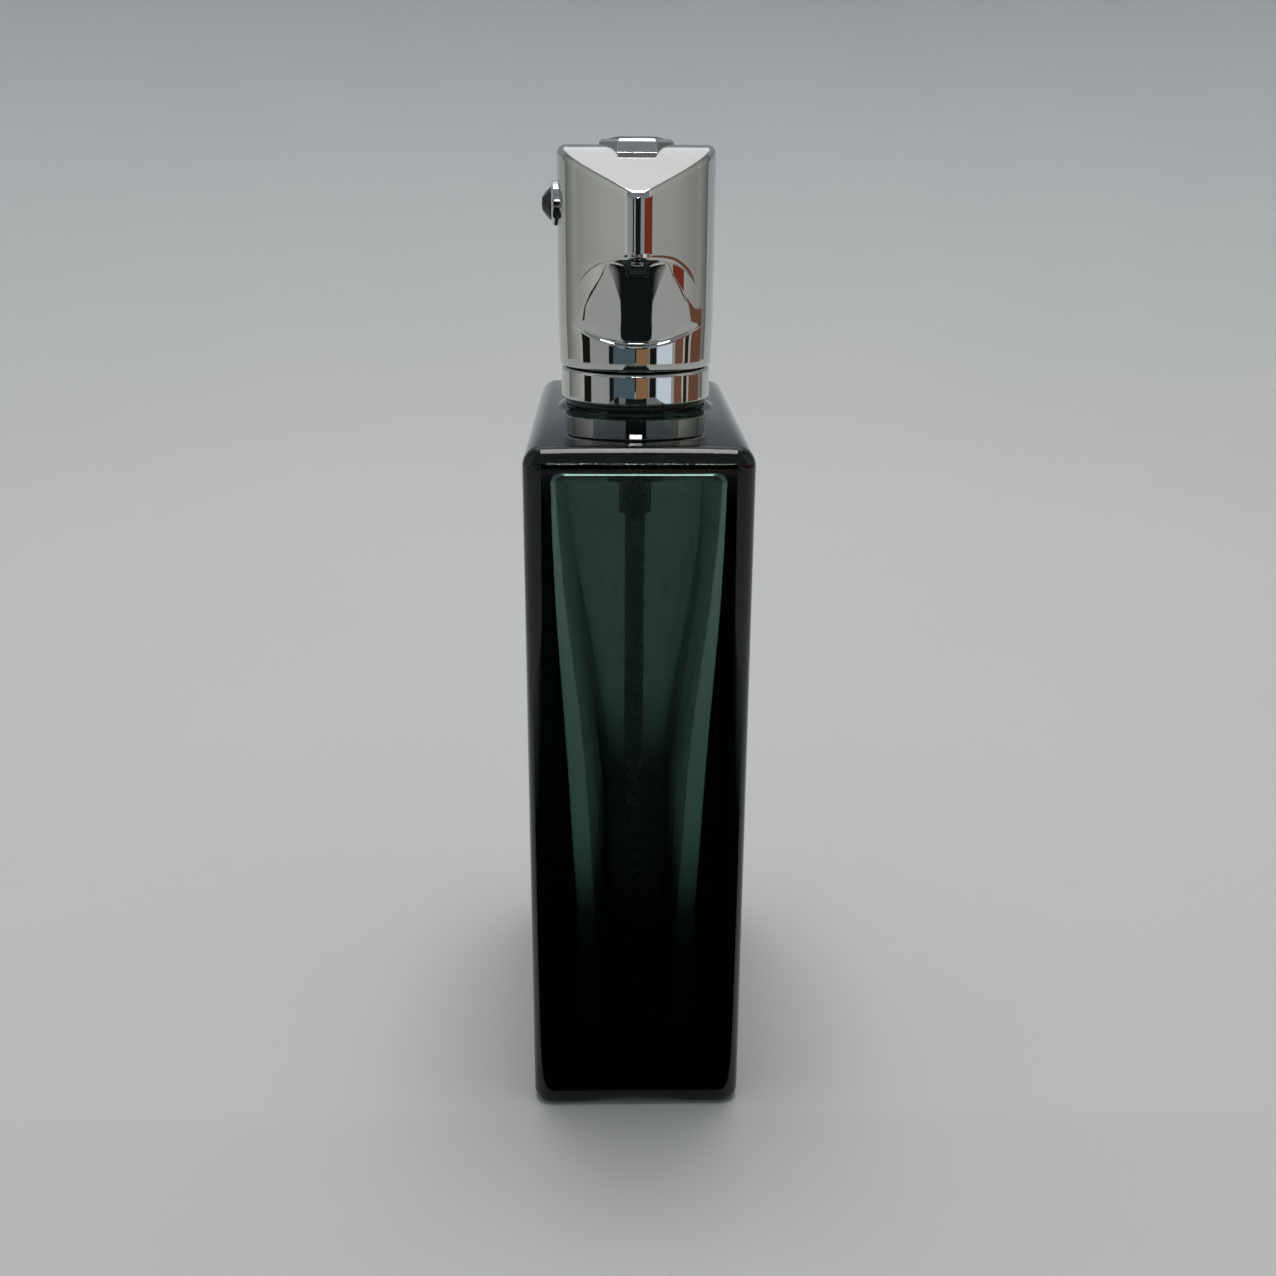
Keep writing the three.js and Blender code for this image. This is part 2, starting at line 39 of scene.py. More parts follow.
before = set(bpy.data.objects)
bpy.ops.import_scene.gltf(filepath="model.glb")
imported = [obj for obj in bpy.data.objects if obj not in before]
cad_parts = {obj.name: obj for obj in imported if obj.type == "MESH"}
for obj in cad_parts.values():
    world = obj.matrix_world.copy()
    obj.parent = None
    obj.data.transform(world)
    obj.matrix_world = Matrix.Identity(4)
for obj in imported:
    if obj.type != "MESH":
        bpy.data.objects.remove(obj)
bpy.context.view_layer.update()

MM = 0.001
TURN = 2 * pi
SPIN_STEPS = 128  # sides of a turned piece
FILLET_STEPS = 5  # sides of a quarter-round edge
ON_AXIS = 1e-6  # a smaller radius is a single point
DRILLED_CREASE = radians(40)  # sharper edges of a drilled piece stay sharp
STONE_CREASE = radians(12)  # sharper edges of a stone or its bezel are softened


# ---- sizes read from the frame

def node_box(node):
    """A node's lowest and highest corners in millimetres."""
    low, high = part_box(node)
    return Vector(low) / MM, Vector(high) / MM


class Span:
    """The outer radius, bottom and top of a turned node, in millimetres."""

    def __init__(self, node):
        low, high = node_box(node)
        self.radius = high.x
        self.bottom = low.z
        self.top = high.z


# ---- mesh helpers

def scene_object(name, data):
    obj = bpy.data.objects.new(name, data)
    bpy.context.scene.collection.objects.link(obj)
    return obj


def mesh_object(name, points, faces, smooth=True):
    """A new object from points in millimetres."""
    mesh = bpy.data.meshes.new(name)
    mesh.from_pydata([tuple(c * MM for c in p) for p in points], [], faces)
    mesh.validate()
    mesh.update()
    mesh.polygons.foreach_set("use_smooth", [smooth] * len(mesh.polygons))
    return scene_object(name, mesh)


def even_shading(obj):
    """Lets large flat areas set the normals, so that fillets don't bend the light on them."""
    modifier = obj.modifiers.new("even_shading", "WEIGHTED_NORMAL")
    modifier.weight = 50
    modifier.keep_sharp = True


def arc_between(before, corner, after, radius, steps):
    """Points of the arc that rounds a corner of an outline."""
    a = Vector(before) - Vector(corner)
    b = Vector(after) - Vector(corner)
    angle = a.angle(b)
    reach = radius / tan(angle / 2)
    reach = min(reach, 0.49 * a.length, 0.49 * b.length)
    radius = reach * tan(angle / 2)
    middle = (a.normalized() + b.normalized()).normalized()
    centre = Vector(corner) + middle * radius / sin(angle / 2)
    start = Vector(corner) + a.normalized() * reach - centre
    end = Vector(corner) + b.normalized() * reach - centre
    sweep = start.angle_signed(end)
    points = []
    for step in range(steps + 1):
        turned = start.copy()
        turned.rotate(Matrix.Rotation(-sweep * step / steps, 2))
        points.append(tuple(centre + turned))
    return points


def rounded(outline):
    """A closed outline of (radius, height, fillet) points as (radius, height) points."""
    points = []
    for i, (r, z, fillet) in enumerate(outline):
        before = outline[i - 1][:2]
        after = outline[(i + 1) % len(outline)][:2]
        if fillet > 0:
            points += arc_between(before, (r, z), after, fillet, FILLET_STEPS)
        else:
            points.append((r, z))
    return points


def quarter_turn(steps):
    """The angles from 0 to a quarter turn in even steps, with both ends."""
    return [step / steps * pi / 2 for step in range(steps + 1)]


def ring_points(radius, z, count, first=0.0):
    """A ring of points about Z, anticlockwise, whose first is a number of steps past +X."""
    turns = [TURN * (k + first) / count for k in range(count)]
    return [(radius * cos(t), radius * sin(t), z) for t in turns]


def loft(name, rings, smooth=True, looped=False):
    """A surface through rings of equal count or of one point, which meets itself if looped."""
    points = []
    rows = []
    count = max(len(ring) for ring in rings)
    for ring in rings:
        if len(ring) == 1:
            rows.append([len(points)] * count)
        else:
            rows.append(range(len(points), len(points) + count))
        points += ring
    if looped:
        rows.append(rows[0])
    faces = []
    for row, above in zip(rows, rows[1:]):
        for k in range(count):
            n = (k + 1) % count
            face = list(dict.fromkeys([row[k], row[n], above[n], above[k]]))
            if len(face) > 2:
                faces.append(face)
    return mesh_object(name, points, faces, smooth)


def turned(name, outline, steps=SPIN_STEPS):
    """A turned object about Z from a closed outline, anticlockwise in (radius, height)."""
    rings = [[(0, 0, z)] if r < ON_AXIS else ring_points(r, z, steps) for r, z in rounded(outline)]
    obj = loft(name, rings, looped=True)
    even_shading(obj)
    return obj


def turn_to_front(obj, height):
    """Turns a piece made about Z so that its axis runs along -X at a height."""
    matrix = Matrix.Translation((0, 0, height * MM)) @ Matrix.Rotation(-pi / 2, 4, "Y")
    obj.data.transform(matrix)


def frames_along(route):
    """Two directions across a route at each of its points, turning no more than they must."""
    across = Vector((1, 0, 0))
    pairs = []
    for i in range(len(route)):
        behind = Vector(route[max(i - 1, 0)])
        ahead = (Vector(route[min(i + 1, len(route) - 1)]) - behind).normalized()
        across = (across - ahead * across.dot(ahead)).normalized()
        pairs.append((across.copy(), ahead.cross(across)))
    return pairs


def swept(name, route, radius, bore=0.0, sides=20):
    """A rod along a route, or a tube if it has a bore."""
    frames = frames_along(route)

    def ring(i, size):
        u, v = frames[i]
        turns = [TURN * k / sides for k in range(sides)]
        return [tuple(Vector(route[i]) + size * (cos(t) * u + sin(t) * v)) for t in turns]

    outside = [ring(i, radius) for i in range(len(route))]
    if bore:
        inside = [ring(i, bore) for i in range(len(route))]
        return loft(name, outside + inside[::-1], looped=True)
    return loft(name, [[tuple(route[0])]] + outside + [[tuple(route[-1])]])


def drilled(obj, radius, height, start, end):
    """Cuts a round hole along X through an object, between two distances from the axis."""
    cutter = turned("cutter", [(0, start, 0), (radius, start, 0), (radius, end, 0), (0, end, 0)], 64)
    cutter.modifiers.clear()
    turn_to_front(cutter, height)
    obj.modifiers.clear()
    cut = obj.modifiers.new("hole", "BOOLEAN")
    cut.operation = "DIFFERENCE"
    cut.solver = "EXACT"
    cut.object = cutter
    graph = bpy.context.evaluated_depsgraph_get()
    mesh = bpy.data.meshes.new_from_object(obj.evaluated_get(graph))
    obj.modifiers.clear()
    obj.data = mesh
    mesh.set_sharp_from_angle(angle=DRILLED_CREASE)
    bpy.data.objects.remove(cutter)
    even_shading(obj)


def place(obj, body, slot, material, *nodes):
    """Gives a piece its material and its body, and hides the CAD nodes that it stands for. The slot is
    not used.
    """
    obj.data.materials.clear()
    obj.data.materials.append(material)
    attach(obj, body)
    if nodes:
        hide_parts(*nodes)


# ---- materials

def new_material(name):
    material = bpy.data.materials.new(name)
    material.use_nodes = True
    shader = material.node_tree.nodes["Principled BSDF"]
    return material, material.node_tree, shader


def object_noise(tree, scale, detail=4.0, roughness=0.55, stretch=(1, 1, 1)):
    """Noise in the object's own coordinates, with features of about 1/scale metres."""
    where = tree.nodes.new("ShaderNodeTexCoord")
    mapping = tree.nodes.new("ShaderNodeMapping")
    mapping.inputs["Scale"].default_value = stretch
    noise = tree.nodes.new("ShaderNodeTexNoise")
    noise.inputs["Scale"].default_value = scale
    noise.inputs["Detail"].default_value = detail
    noise.inputs["Roughness"].default_value = roughness
    tree.links.new(where.outputs["Object"], mapping.inputs["Vector"])
    tree.links.new(mapping.outputs["Vector"], noise.inputs["Vector"])
    return noise.outputs["Fac"]


def ranged(tree, value, low, high, from_low=0.35, from_high=0.65):
    """A value mapped from one range to another."""
    node = tree.nodes.new("ShaderNodeMapRange")
    node.inputs["From Min"].default_value = from_low
    node.inputs["From Max"].default_value = from_high
    node.inputs["To Min"].default_value = low
    node.inputs["To Max"].default_value = high
    tree.links.new(value, node.inputs["Value"])
    return node.outputs["Result"]


def combined(tree, operation, first, second=0):
    """One or two values, or sockets, through a maths node."""
    node = tree.nodes.new("ShaderNodeMath")
    node.operation = operation
    for socket, value in zip(node.inputs, (first, second)):
        if isinstance(value, (int, float)):
            socket.default_value = value
        else:
            tree.links.new(value, socket)
    return node.outputs["Value"]


def object_axes(tree):
    """The X, Y and Z sockets of the object's own coordinates."""
    where = tree.nodes.new("ShaderNodeTexCoord")
    split = tree.nodes.new("ShaderNodeSeparateXYZ")
    tree.links.new(where.outputs["Object"], split.inputs["Vector"])
    return split.outputs


def bumped(tree, shader, height, strength, distance_mm):
    bump = tree.nodes.new("ShaderNodeBump")
    bump.inputs["Strength"].default_value = strength
    bump.inputs["Distance"].default_value = distance_mm * MM
    tree.links.new(height, bump.inputs["Height"])
    tree.links.new(bump.outputs["Normal"], shader.inputs["Normal"])


def edge_wear(tree):
    """A value from 0 on flat areas to 1 on sharp outer edges."""
    geometry = tree.nodes.new("ShaderNodeNewGeometry")
    return ranged(tree, geometry.outputs["Pointiness"], 0, 1, 0.52, 0.6)


def mixed_colour(tree, factor, first, second):
    mix = tree.nodes.new("ShaderNodeMix")
    mix.data_type = "RGBA"
    mix.inputs["A"].default_value = (*first, 1)
    mix.inputs["B"].default_value = (*second, 1)
    tree.links.new(factor, mix.inputs["Factor"])
    return mix.outputs["Result"]


def painted(tree, shader, factor, first, second):
    """Gives a shader a base colour that goes from one to another with a factor."""
    tree.links.new(mixed_colour(tree, factor, first, second), shader.inputs["Base Color"])


def dimmed(colour, share):
    return tuple(c * share for c in colour)


def chrome(name, colour, smudge=0.07, polish=0.025):
    """Mirror plating with faint smudges, hairline marks and slightly rubbed edges."""
    material, tree, shader = new_material(name)
    patches = object_noise(tree, 90, 5)
    hairlines = object_noise(tree, 900, 3, 0.6, (1, 1, 0.06))
    rubbed = combined(tree, "MULTIPLY", edge_wear(tree), 0.05)
    smudges = ranged(tree, patches, polish, smudge, 0.48, 0.72)
    rough = combined(tree, "ADD", smudges, rubbed)
    marks = combined(tree, "MULTIPLY", ranged(tree, hairlines, 0, 1, 0.6, 0.75), 0.02)
    tree.links.new(combined(tree, "ADD", rough, marks), shader.inputs["Roughness"])
    painted(tree, shader, ranged(tree, patches, 0, 1, 0.5, 0.8), colour, dimmed(colour, 0.9))
    shader.inputs["Metallic"].default_value = 1
    bumped(tree, shader, object_noise(tree, 260, 2), 0.05, 0.004)
    return material


def satin_metal(name, colour, roughness):
    """Bare metal with a fine grain drawn out along the object's height."""
    material, tree, shader = new_material(name)
    grain = object_noise(tree, 1400, 4, 0.6, (1, 1, 0.05))
    tree.links.new(ranged(tree, grain, roughness * 0.7, roughness * 1.3), shader.inputs["Roughness"])
    painted(tree, shader, grain, colour, dimmed(colour, 0.85))
    shader.inputs["Metallic"].default_value = 1
    bumped(tree, shader, grain, 0.15, 0.01)
    return material


def plastic(name, colour, roughness, clear=0.0, texture_mm=0.012):
    """Moulded plastic with a fine spark-eroded texture over broader, fainter patches."""
    material, tree, shader = new_material(name)
    fine = object_noise(tree, 2600, 3)
    broad = object_noise(tree, 180, 4)
    texture = ranged(tree, fine, roughness * 0.85, roughness * 1.1)
    rough = combined(tree, "ADD", texture, ranged(tree, broad, 0, 0.05))
    tree.links.new(rough, shader.inputs["Roughness"])
    painted(tree, shader, broad, colour, dimmed(colour, 0.88))
    shader.inputs["Transmission Weight"].default_value = clear
    shader.inputs["IOR"].default_value = 1.5
    bumped(tree, shader, fine, 0.2, texture_mm)
    return material


def rubber(name):
    material, tree, shader = new_material(name)
    grain = object_noise(tree, 1500, 5, 0.7)
    tree.links.new(ranged(tree, grain, 0.6, 0.9), shader.inputs["Roughness"])
    painted(tree, shader, grain, (0.02, 0.02, 0.02), (0.05, 0.05, 0.05))
    bumped(tree, shader, grain, 0.4, 0.03)
    return material


def tinted_glass(name, black_below, clear_above):
    """Grey-green glass that turns to gloss black lacquer between two heights in millimetres."""
    material, tree, shader = new_material(name)
    drift = combined(tree, "MULTIPLY", object_noise(tree, 45, 3), 0.004)
    height = combined(tree, "ADD", object_axes(tree)["Z"], drift)
    clear = tree.nodes.new("ShaderNodeMapRange")
    clear.interpolation_type = "SMOOTHSTEP"
    clear.inputs["From Min"].default_value = black_below * MM
    clear.inputs["From Max"].default_value = clear_above * MM
    tree.links.new(height, clear.inputs["Value"])
    painted(tree, shader, clear.outputs["Result"], (0.004, 0.006, 0.0065), (0.3, 0.355, 0.335))
    smears = object_noise(tree, 60, 6, 0.6)
    tree.links.new(ranged(tree, smears, 0.004, 0.03, 0.5, 0.75), shader.inputs["Roughness"])
    shader.inputs["Transmission Weight"].default_value = 1
    shader.inputs["IOR"].default_value = 1.46
    bumped(tree, shader, object_noise(tree, 55, 2), 0.06, 0.05)
    body = tree.nodes.new("ShaderNodeVolumeAbsorption")
    body.inputs["Color"].default_value = (0.42, 0.6, 0.56, 1)
    body.inputs["Density"].default_value = 200
    tree.links.new(body.outputs["Volume"], tree.nodes["Material Output"].inputs["Volume"])
    return material


def cut_stone(name):
    material, tree, shader = new_material(name)
    cloud = object_noise(tree, 500, 4)
    painted(tree, shader, cloud, (0.004, 0.005, 0.007), (0.02, 0.024, 0.03))
    tree.links.new(ranged(tree, cloud, 0.01, 0.03), shader.inputs["Roughness"])
    shader.inputs["IOR"].default_value = 1.45
    bumped(tree, shader, object_noise(tree, 900, 2), 0.03, 0.01)
    return material


GLASS = tinted_glass("tinted_glass", 27, 47)
CAP_CHROME = chrome("cap_chrome", (0.6, 0.6, 0.585))
COLLAR_CHROME = chrome("collar_chrome", (0.61, 0.61, 0.595), 0.08)
BEZEL_CHROME = chrome("bezel_chrome", (0.68, 0.68, 0.67), 0.05, 0.02)
ACTUATOR_METAL = chrome("actuator_metal", (0.66, 0.66, 0.65), 0.12, 0.06)
FERRULE_METAL = satin_metal("ferrule_aluminium", (0.6, 0.6, 0.59), 0.32)
STEEL = satin_metal("spring_steel", (0.5, 0.5, 0.49), 0.2)
BLACK_PLASTIC = plastic("black_plastic", (0.012, 0.012, 0.013), 0.28)
WHITE_PLASTIC = plastic("white_plastic", (0.78, 0.78, 0.75), 0.42)
NATURAL_PLASTIC = plastic("natural_plastic", (0.8, 0.83, 0.81), 0.24, 0.6, 0.003)
RUBBER = rubber("seal_rubber")
STONE = cut_stone("dark_stone")


# ---- glass bottle

GLASS_HIGH = node_box("glass_bottle")[1]
HALF_WIDTH = GLASS_HIGH.x
HALF_DEPTH = GLASS_HIGH.y
NECK_TOP = GLASS_HIGH.z
EDGE_RADIUS = 2.8  # of the four upright edges
TOP_FILLET = 2.5
HEEL = 1.6  # radius of the edge round the underside
WALL = 3.4  # the glass at the top
LOWER_WALL = 2.4  # how much thicker the walls are at the floor
CEILING_RADIUS = 1.5  # inside, under the shoulder
CAVITY_CORNER = 9.0  # from half height down
CAVITY_TOP_CORNER = 2.0
FLOOR = 8.0
FLOOR_RADIUS = 4.0  # inside, round the floor
SHOULDER = 97.5  # height of the top's edge, before its fillet
CROWN = 1.25  # how far the top rises towards the neck
CEILING = SHOULDER - WALL
PAD_HEIGHT = 98.7  # the flat round the neck
PAD_RADIUS = 10.4
PAD_BLEND = 0.9  # how far past the flat the crown takes over
ARCH_HALF = 9.5  # half the width of the arch along the underside
ARCH_RISE = 0.7
NECK_RADIUS = 6.6
BEAD_RADIUS = 7.5
BEAD_HEIGHT = 3.3
BORE = 4.7
SECTION_CORNER_STEPS = 10
SECTION_LONG_STEPS = 40
SECTION_SHORT_STEPS = 20
SHARPEST_CORNER = 0.05


def section(inset, z, corner):
    """A rounded rectangle inset from the outer wall, anticlockwise from the -Y end of the +X side."""
    half_x = HALF_WIDTH - inset
    half_y = HALF_DEPTH - inset
    corner = max(corner, SHARPEST_CORNER)
    points = []
    for quarter in range(4):
        long_side = quarter % 2 == 0
        steps = SECTION_LONG_STEPS if long_side else SECTION_SHORT_STEPS
        along = (half_y if long_side else half_x) - corner
        out = half_x if long_side else half_y
        side = [(out, -along + 2 * along * step / steps) for step in range(steps)]
        for a in quarter_turn(SECTION_CORNER_STEPS)[:-1]:
            side.append((out - corner + corner * cos(a), along + corner * sin(a)))
        turn = quarter * pi / 2
        points += [
            (u * cos(turn) - v * sin(turn), u * sin(turn) + v * cos(turn), z)
            for u, v in side
        ]
    return points


def circle(radius, z, count):
    """A ring of points whose first lies where a section's first point does."""
    return ring_points(radius, z, count, -SECTION_LONG_STEPS / 2)


def smoothstep(value, low, high):
    """A smooth climb from 0 to 1 as a value goes from low to high, which may be the smaller."""
    t = min(1, max(0, (value - low) / (high - low)))
    return t * t * (3 - 2 * t)


def shoulder_height(x, y, drop):
    """The height of the glass top: a crown that falls to its edges, and a flat pad round the neck."""
    crown = (1 - abs(x / HALF_WIDTH) ** 3) * (1 - abs(y / HALF_DEPTH) ** 3)
    z = SHOULDER + CROWN * crown - drop
    pad = smoothstep(hypot(x, y), PAD_RADIUS + PAD_BLEND, PAD_RADIUS)
    return z + (PAD_HEIGHT - z) * pad


def arch_lift(x):
    """How far the underside is lifted between its two rails."""
    if abs(x) >= ARCH_HALF:
        return 0
    return ARCH_RISE * cos(pi * x / (2 * ARCH_HALF)) ** 2


def lifted(ring, fade_height=4.0):
    return [(x, y, z + arch_lift(x) * max(0, 1 - z / fade_height)) for x, y, z in ring]


def between(ring_a, ring_b, t, height=None):
    """A ring part of the way from one to another, at heights from a function if one is given."""
    points = []
    for (ax, ay, az), (bx, by, bz) in zip(ring_a, ring_b):
        x = ax + (bx - ax) * t
        y = ay + (by - ay) * t
        points.append((x, y, height(x, y) if height else az + (bz - az) * t))
    return points


def outer_rings():
    """The outer surface, from the middle of the underside to the pad round the neck."""
    rings = [[(0, 0, ARCH_RISE)]]
    foot = section(HEEL, 0, EDGE_RADIUS - HEEL)
    for share in (0.08, 0.2, 0.35, 0.5, 0.65, 0.8, 0.92):
        rings.append(lifted([(x * share, y * share, 0) for x, y, _ in foot]))
    for a in quarter_turn(8):
        inset = HEEL * (1 - sin(a))
        rings.append(lifted(section(inset, HEEL * (1 - cos(a)), EDGE_RADIUS - inset)))
    wall_top = SHOULDER - TOP_FILLET
    for z in (3, 6, 20, 35, 50, 65, 80, wall_top - 4, wall_top - 1):
        rings.append(lifted(section(0, z, EDGE_RADIUS)))
    for a in quarter_turn(12):
        inset = TOP_FILLET * (1 - cos(a))
        drop = TOP_FILLET * (1 - sin(a))
        ring = section(inset, 0, EDGE_RADIUS - inset)
        rings.append([(x, y, shoulder_height(x, y, drop)) for x, y, _ in ring])
    edge = section(TOP_FILLET, 0, EDGE_RADIUS - TOP_FILLET)
    pad = circle(PAD_RADIUS, 0, len(edge))
    for share in (0.04, 0.1, 0.2, 0.32, 0.45, 0.58, 0.7, 0.8, 0.88, 0.94, 0.98, 1):
        rings.append(between(edge, pad, share, lambda x, y: shoulder_height(x, y, 0)))
    return rings


def neck_rings(count):
    """Up the outside of the neck, over its lip and down the bore."""
    bead = NECK_TOP - BEAD_HEIGHT
    profile = rounded([
        (PAD_RADIUS - 0.5, PAD_HEIGHT, 0),
        (NECK_RADIUS, PAD_HEIGHT, 0.8),
        (NECK_RADIUS, bead - 0.6, 0.2),
        (BEAD_RADIUS, bead, 0.3),
        (BEAD_RADIUS, NECK_TOP, 0.6),
        (BORE, NECK_TOP, 0.5),
        (BORE, SHOULDER - 2.2, 0),
    ])
    return [circle(r, z, count) for r, z in profile]


def cavity_inset(z):
    """The wall's thickness at a height: the glass is blown thinner towards the top."""
    return WALL + LOWER_WALL * smoothstep(z, SHOULDER - 15, FLOOR)


def cavity_corner(z):
    """The corner radius of the inside's plan, which grows down to half height."""
    return CAVITY_TOP_CORNER + (CAVITY_CORNER - CAVITY_TOP_CORNER) * smoothstep(z, SHOULDER, SHOULDER / 2)


def inner_rings(count):
    """The inside, from the bore out under the shoulder, down the walls and across the floor."""
    bore = circle(BORE + 0.8, CEILING + 0.6, count)
    edge = section(cavity_inset(CEILING) + CEILING_RADIUS, CEILING, 1.0)
    rings = [between(bore, edge, share) for share in (0, 0.15, 0.4, 0.7)]
    for a in quarter_turn(12):
        z = CEILING - CEILING_RADIUS * (1 - cos(a))
        inset = cavity_inset(z) + CEILING_RADIUS * (1 - sin(a))
        rings.append(section(inset, z, 1 + (cavity_corner(z) - 1) * sin(a)))
    wall_top = CEILING - CEILING_RADIUS
    wall_foot = FLOOR + FLOOR_RADIUS
    for share in (0.05, 0.1, 0.2, 0.3, 0.4, 0.5, 0.6, 0.7, 0.8, 0.9):
        z = wall_top + (wall_foot - wall_top) * share
        rings.append(section(cavity_inset(z), z, cavity_corner(z)))
    for a in quarter_turn(12):
        z = FLOOR + FLOOR_RADIUS * (1 - sin(a))
        inset = cavity_inset(z) + FLOOR_RADIUS * (1 - cos(a))
        rings.append(section(inset, z, CAVITY_CORNER - (CAVITY_CORNER - 1.5) * (1 - cos(a))))
    floor = rings[-1]
    for share in (0.85, 0.6, 0.3):
        rings.append([(x * share, y * share, z) for x, y, z in floor])
    rings.append([(0, 0, FLOOR)])
    return rings


def glass_bottle():
    rings = outer_rings()
    count = len(rings[-1])
    rings += neck_rings(count)
    rings += inner_rings(count)
    obj = loft("glass_bottle_body", rings)
    even_shading(obj)
    place(obj, "bottle", "tinted_glass", GLASS, "glass_bottle")


# ---- collar

def collar_shell():
    span = Span("collar_shell")
    ring_top = 104.1
    sleeve = 9.0
    mouth = 7.3
    bore = 8.85
    lip = 1.1
    obj = turned("collar_ring", [
        (bore, span.bottom, 0.1),
        (span.radius, span.bottom, 0.45),
        (span.radius, ring_top, 0.5),
        (sleeve, ring_top, 0.25),
        (sleeve, span.top, 0.35),
        (mouth, span.top, 0.3),
        (mouth, span.top - lip, 0.15),
        (bore, span.top - lip, 0.05),
    ])
    place(obj, "bottle", "collar_chrome", COLLAR_CHROME, "collar_shell")


def collar_insert():
    span = Span("collar_insert")
    core = 8.75
    bore = 8.1
    flange = 0.7
    obj = turned("collar_core", [
        (bore, span.bottom, 0.15),
        (span.radius, span.bottom, 0.25),
        (span.radius, span.bottom + flange, 0.15),
        (core, span.bottom + flange, 0.1),
        (core, span.top, 0.2),
        (bore, span.top, 0.1),
    ])
    place(obj, "bottle", "black_plastic", BLACK_PLASTIC, "collar_insert")


# ---- cap

CAP_LOW, CAP_HIGH = node_box("cap_shell")
TOWER_RADIUS = CAP_HIGH.x
CAP_BOTTOM = CAP_LOW.z
CAP_FOOT = CAP_BOTTOM - 0.25  # nearer the collar than the coarse model's foot
FOOT_EDGE = 0.4
RIDGE = CAP_HIGH.z
BAND_RADIUS = 10.9
FLAT_ANGLE = radians(48)
TIP_RADIUS = 2.4
FLAT_BULGE = 0.16  # how far the middle of a flat stands out
BAND_TOP = 108.2
SCOOP_CENTRE = 111.1
SCOOP_HEIGHT = 8.5
SCOOP_ANGLE = radians(54)
SCOOP_POWER = 2.5
SCOOP_EDGE_POWER = 3.0  # of the scoop's section: more is a straighter wall and a tighter overhang
SCOOP_DIP = 0.4  # how far a scoop's foot stands back from the band
SCOOP_FOOT_RISE = 2.0  # how far a scoop's foot rises towards its sides
RIDGE_HALF = 2.5
ROOF_DROP = 6.2
ROOF_SOFTNESS = 1.6
TOP_EDGE = 1.25
LIP_EDGE = 0.45
LEAST_STEP = 0.1  # between rows that would otherwise meet at the scoops' sides
CAP_BORE = 9.95
CAP_BORE_TOP = 127.95
CAP_COLUMNS = 288


def prow_radius(angle):
    """The radius of the tower's plan at an angle from the nearer prow."""
    if angle >= FLAT_ANGLE:
        return TOWER_RADIUS
    centre = (TOWER_RADIUS - TIP_RADIUS) / cos(FLAT_ANGLE)
    tip_side = TIP_RADIUS * sin(FLAT_ANGLE)
    tip_end = atan2(tip_side, centre + TIP_RADIUS * cos(FLAT_ANGLE))
    if angle >= tip_end:
        along = (angle - tip_end) / (FLAT_ANGLE - tip_end)
        return TOWER_RADIUS / cos(FLAT_ANGLE - angle) + 4 * FLAT_BULGE * along * (1 - along)
    across = centre * sin(angle)
    return centre * cos(angle) + sqrt(TIP_RADIUS ** 2 - across ** 2)


ROOF_SLOPE = ROOF_DROP / (prow_radius(0) - RIDGE_HALF)


def roof_height(y):
    """The height of the roof, with the bends beside the ridge softened."""
    past = abs(y) - RIDGE_HALF
    soft = 0.5 * (past + sqrt(past * past + ROOF_SOFTNESS ** 2))
    level = 0.5 * (-RIDGE_HALF + sqrt(RIDGE_HALF ** 2 + ROOF_SOFTNESS ** 2))
    return RIDGE - ROOF_SLOPE * (soft - level)


def scoop_share(angle):
    """How far across its scoop an angle from the prow is: 0 in the middle and 1 at the side."""
    return min(1, sin(angle) / sin(SCOOP_ANGLE))


def scoop_lip(across):
    """The height of a scoop's upper edge."""
    return SCOOP_CENTRE + SCOOP_HEIGHT * (1 - across ** SCOOP_POWER) ** (1 / SCOOP_POWER)


def scoop_foot(across):
    """The height where a scoop meets the band."""
    return BAND_TOP + SCOOP_FOOT_RISE * across ** 2


def band_radius(across, z):
    """The radius of the plain band, which meets the tower without a step beside the scoops."""
    blend = across ** 8 * smoothstep(z, CAP_BOTTOM + 1, SCOOP_CENTRE)
    return BAND_RADIUS + (TOWER_RADIUS - BAND_RADIUS) * blend


def scoop_radius(angle, z):
    """The radius of the scooped surface between its foot and its lip."""
    across = scoop_share(angle)
    foot = scoop_foot(across)
    lean = SCOOP_DIP * (1 - across ** 2) * (SCOOP_CENTRE - z) / (SCOOP_CENTRE - foot)
    inner = band_radius(across, z) - lean
    up = max(0, z - SCOOP_CENTRE) / SCOOP_HEIGHT
    spread = min(1, (across ** SCOOP_POWER + up ** SCOOP_POWER) ** (1 / SCOOP_POWER))
    share = 1 - (1 - spread ** SCOOP_EDGE_POWER) ** (1 / SCOOP_EDGE_POWER)
    blend = smoothstep(z, foot, SCOOP_CENTRE) if z < SCOOP_CENTRE else 1
    return inner + (prow_radius(angle) - inner) * share * blend


def band_points(across):
    """Up a column from the cap's rounded foot to the brim where a scoop starts."""
    points = []
    for a in quarter_turn(4):
        radius = BAND_RADIUS - FOOT_EDGE * (1 - sin(a))
        points.append((radius, CAP_FOOT + FOOT_EDGE * (1 - cos(a))))
    crease = scoop_foot(across)
    ledge = SCOOP_DIP * (1 - across ** 2)
    drop = max(ledge, LEAST_STEP)
    brim_foot = crease - drop
    for z in (CAP_BOTTOM + 1.2, crease - 1.5, brim_foot - 0.5, brim_foot - 0.25, brim_foot - 0.08):
        points.append((band_radius(across, z), z))
    brim = band_radius(across, crease)
    points += [(brim - ledge * share, crease - drop * (1 - share)) for share in (0.08, 0.3, 0.7, 0.92)]
    return points


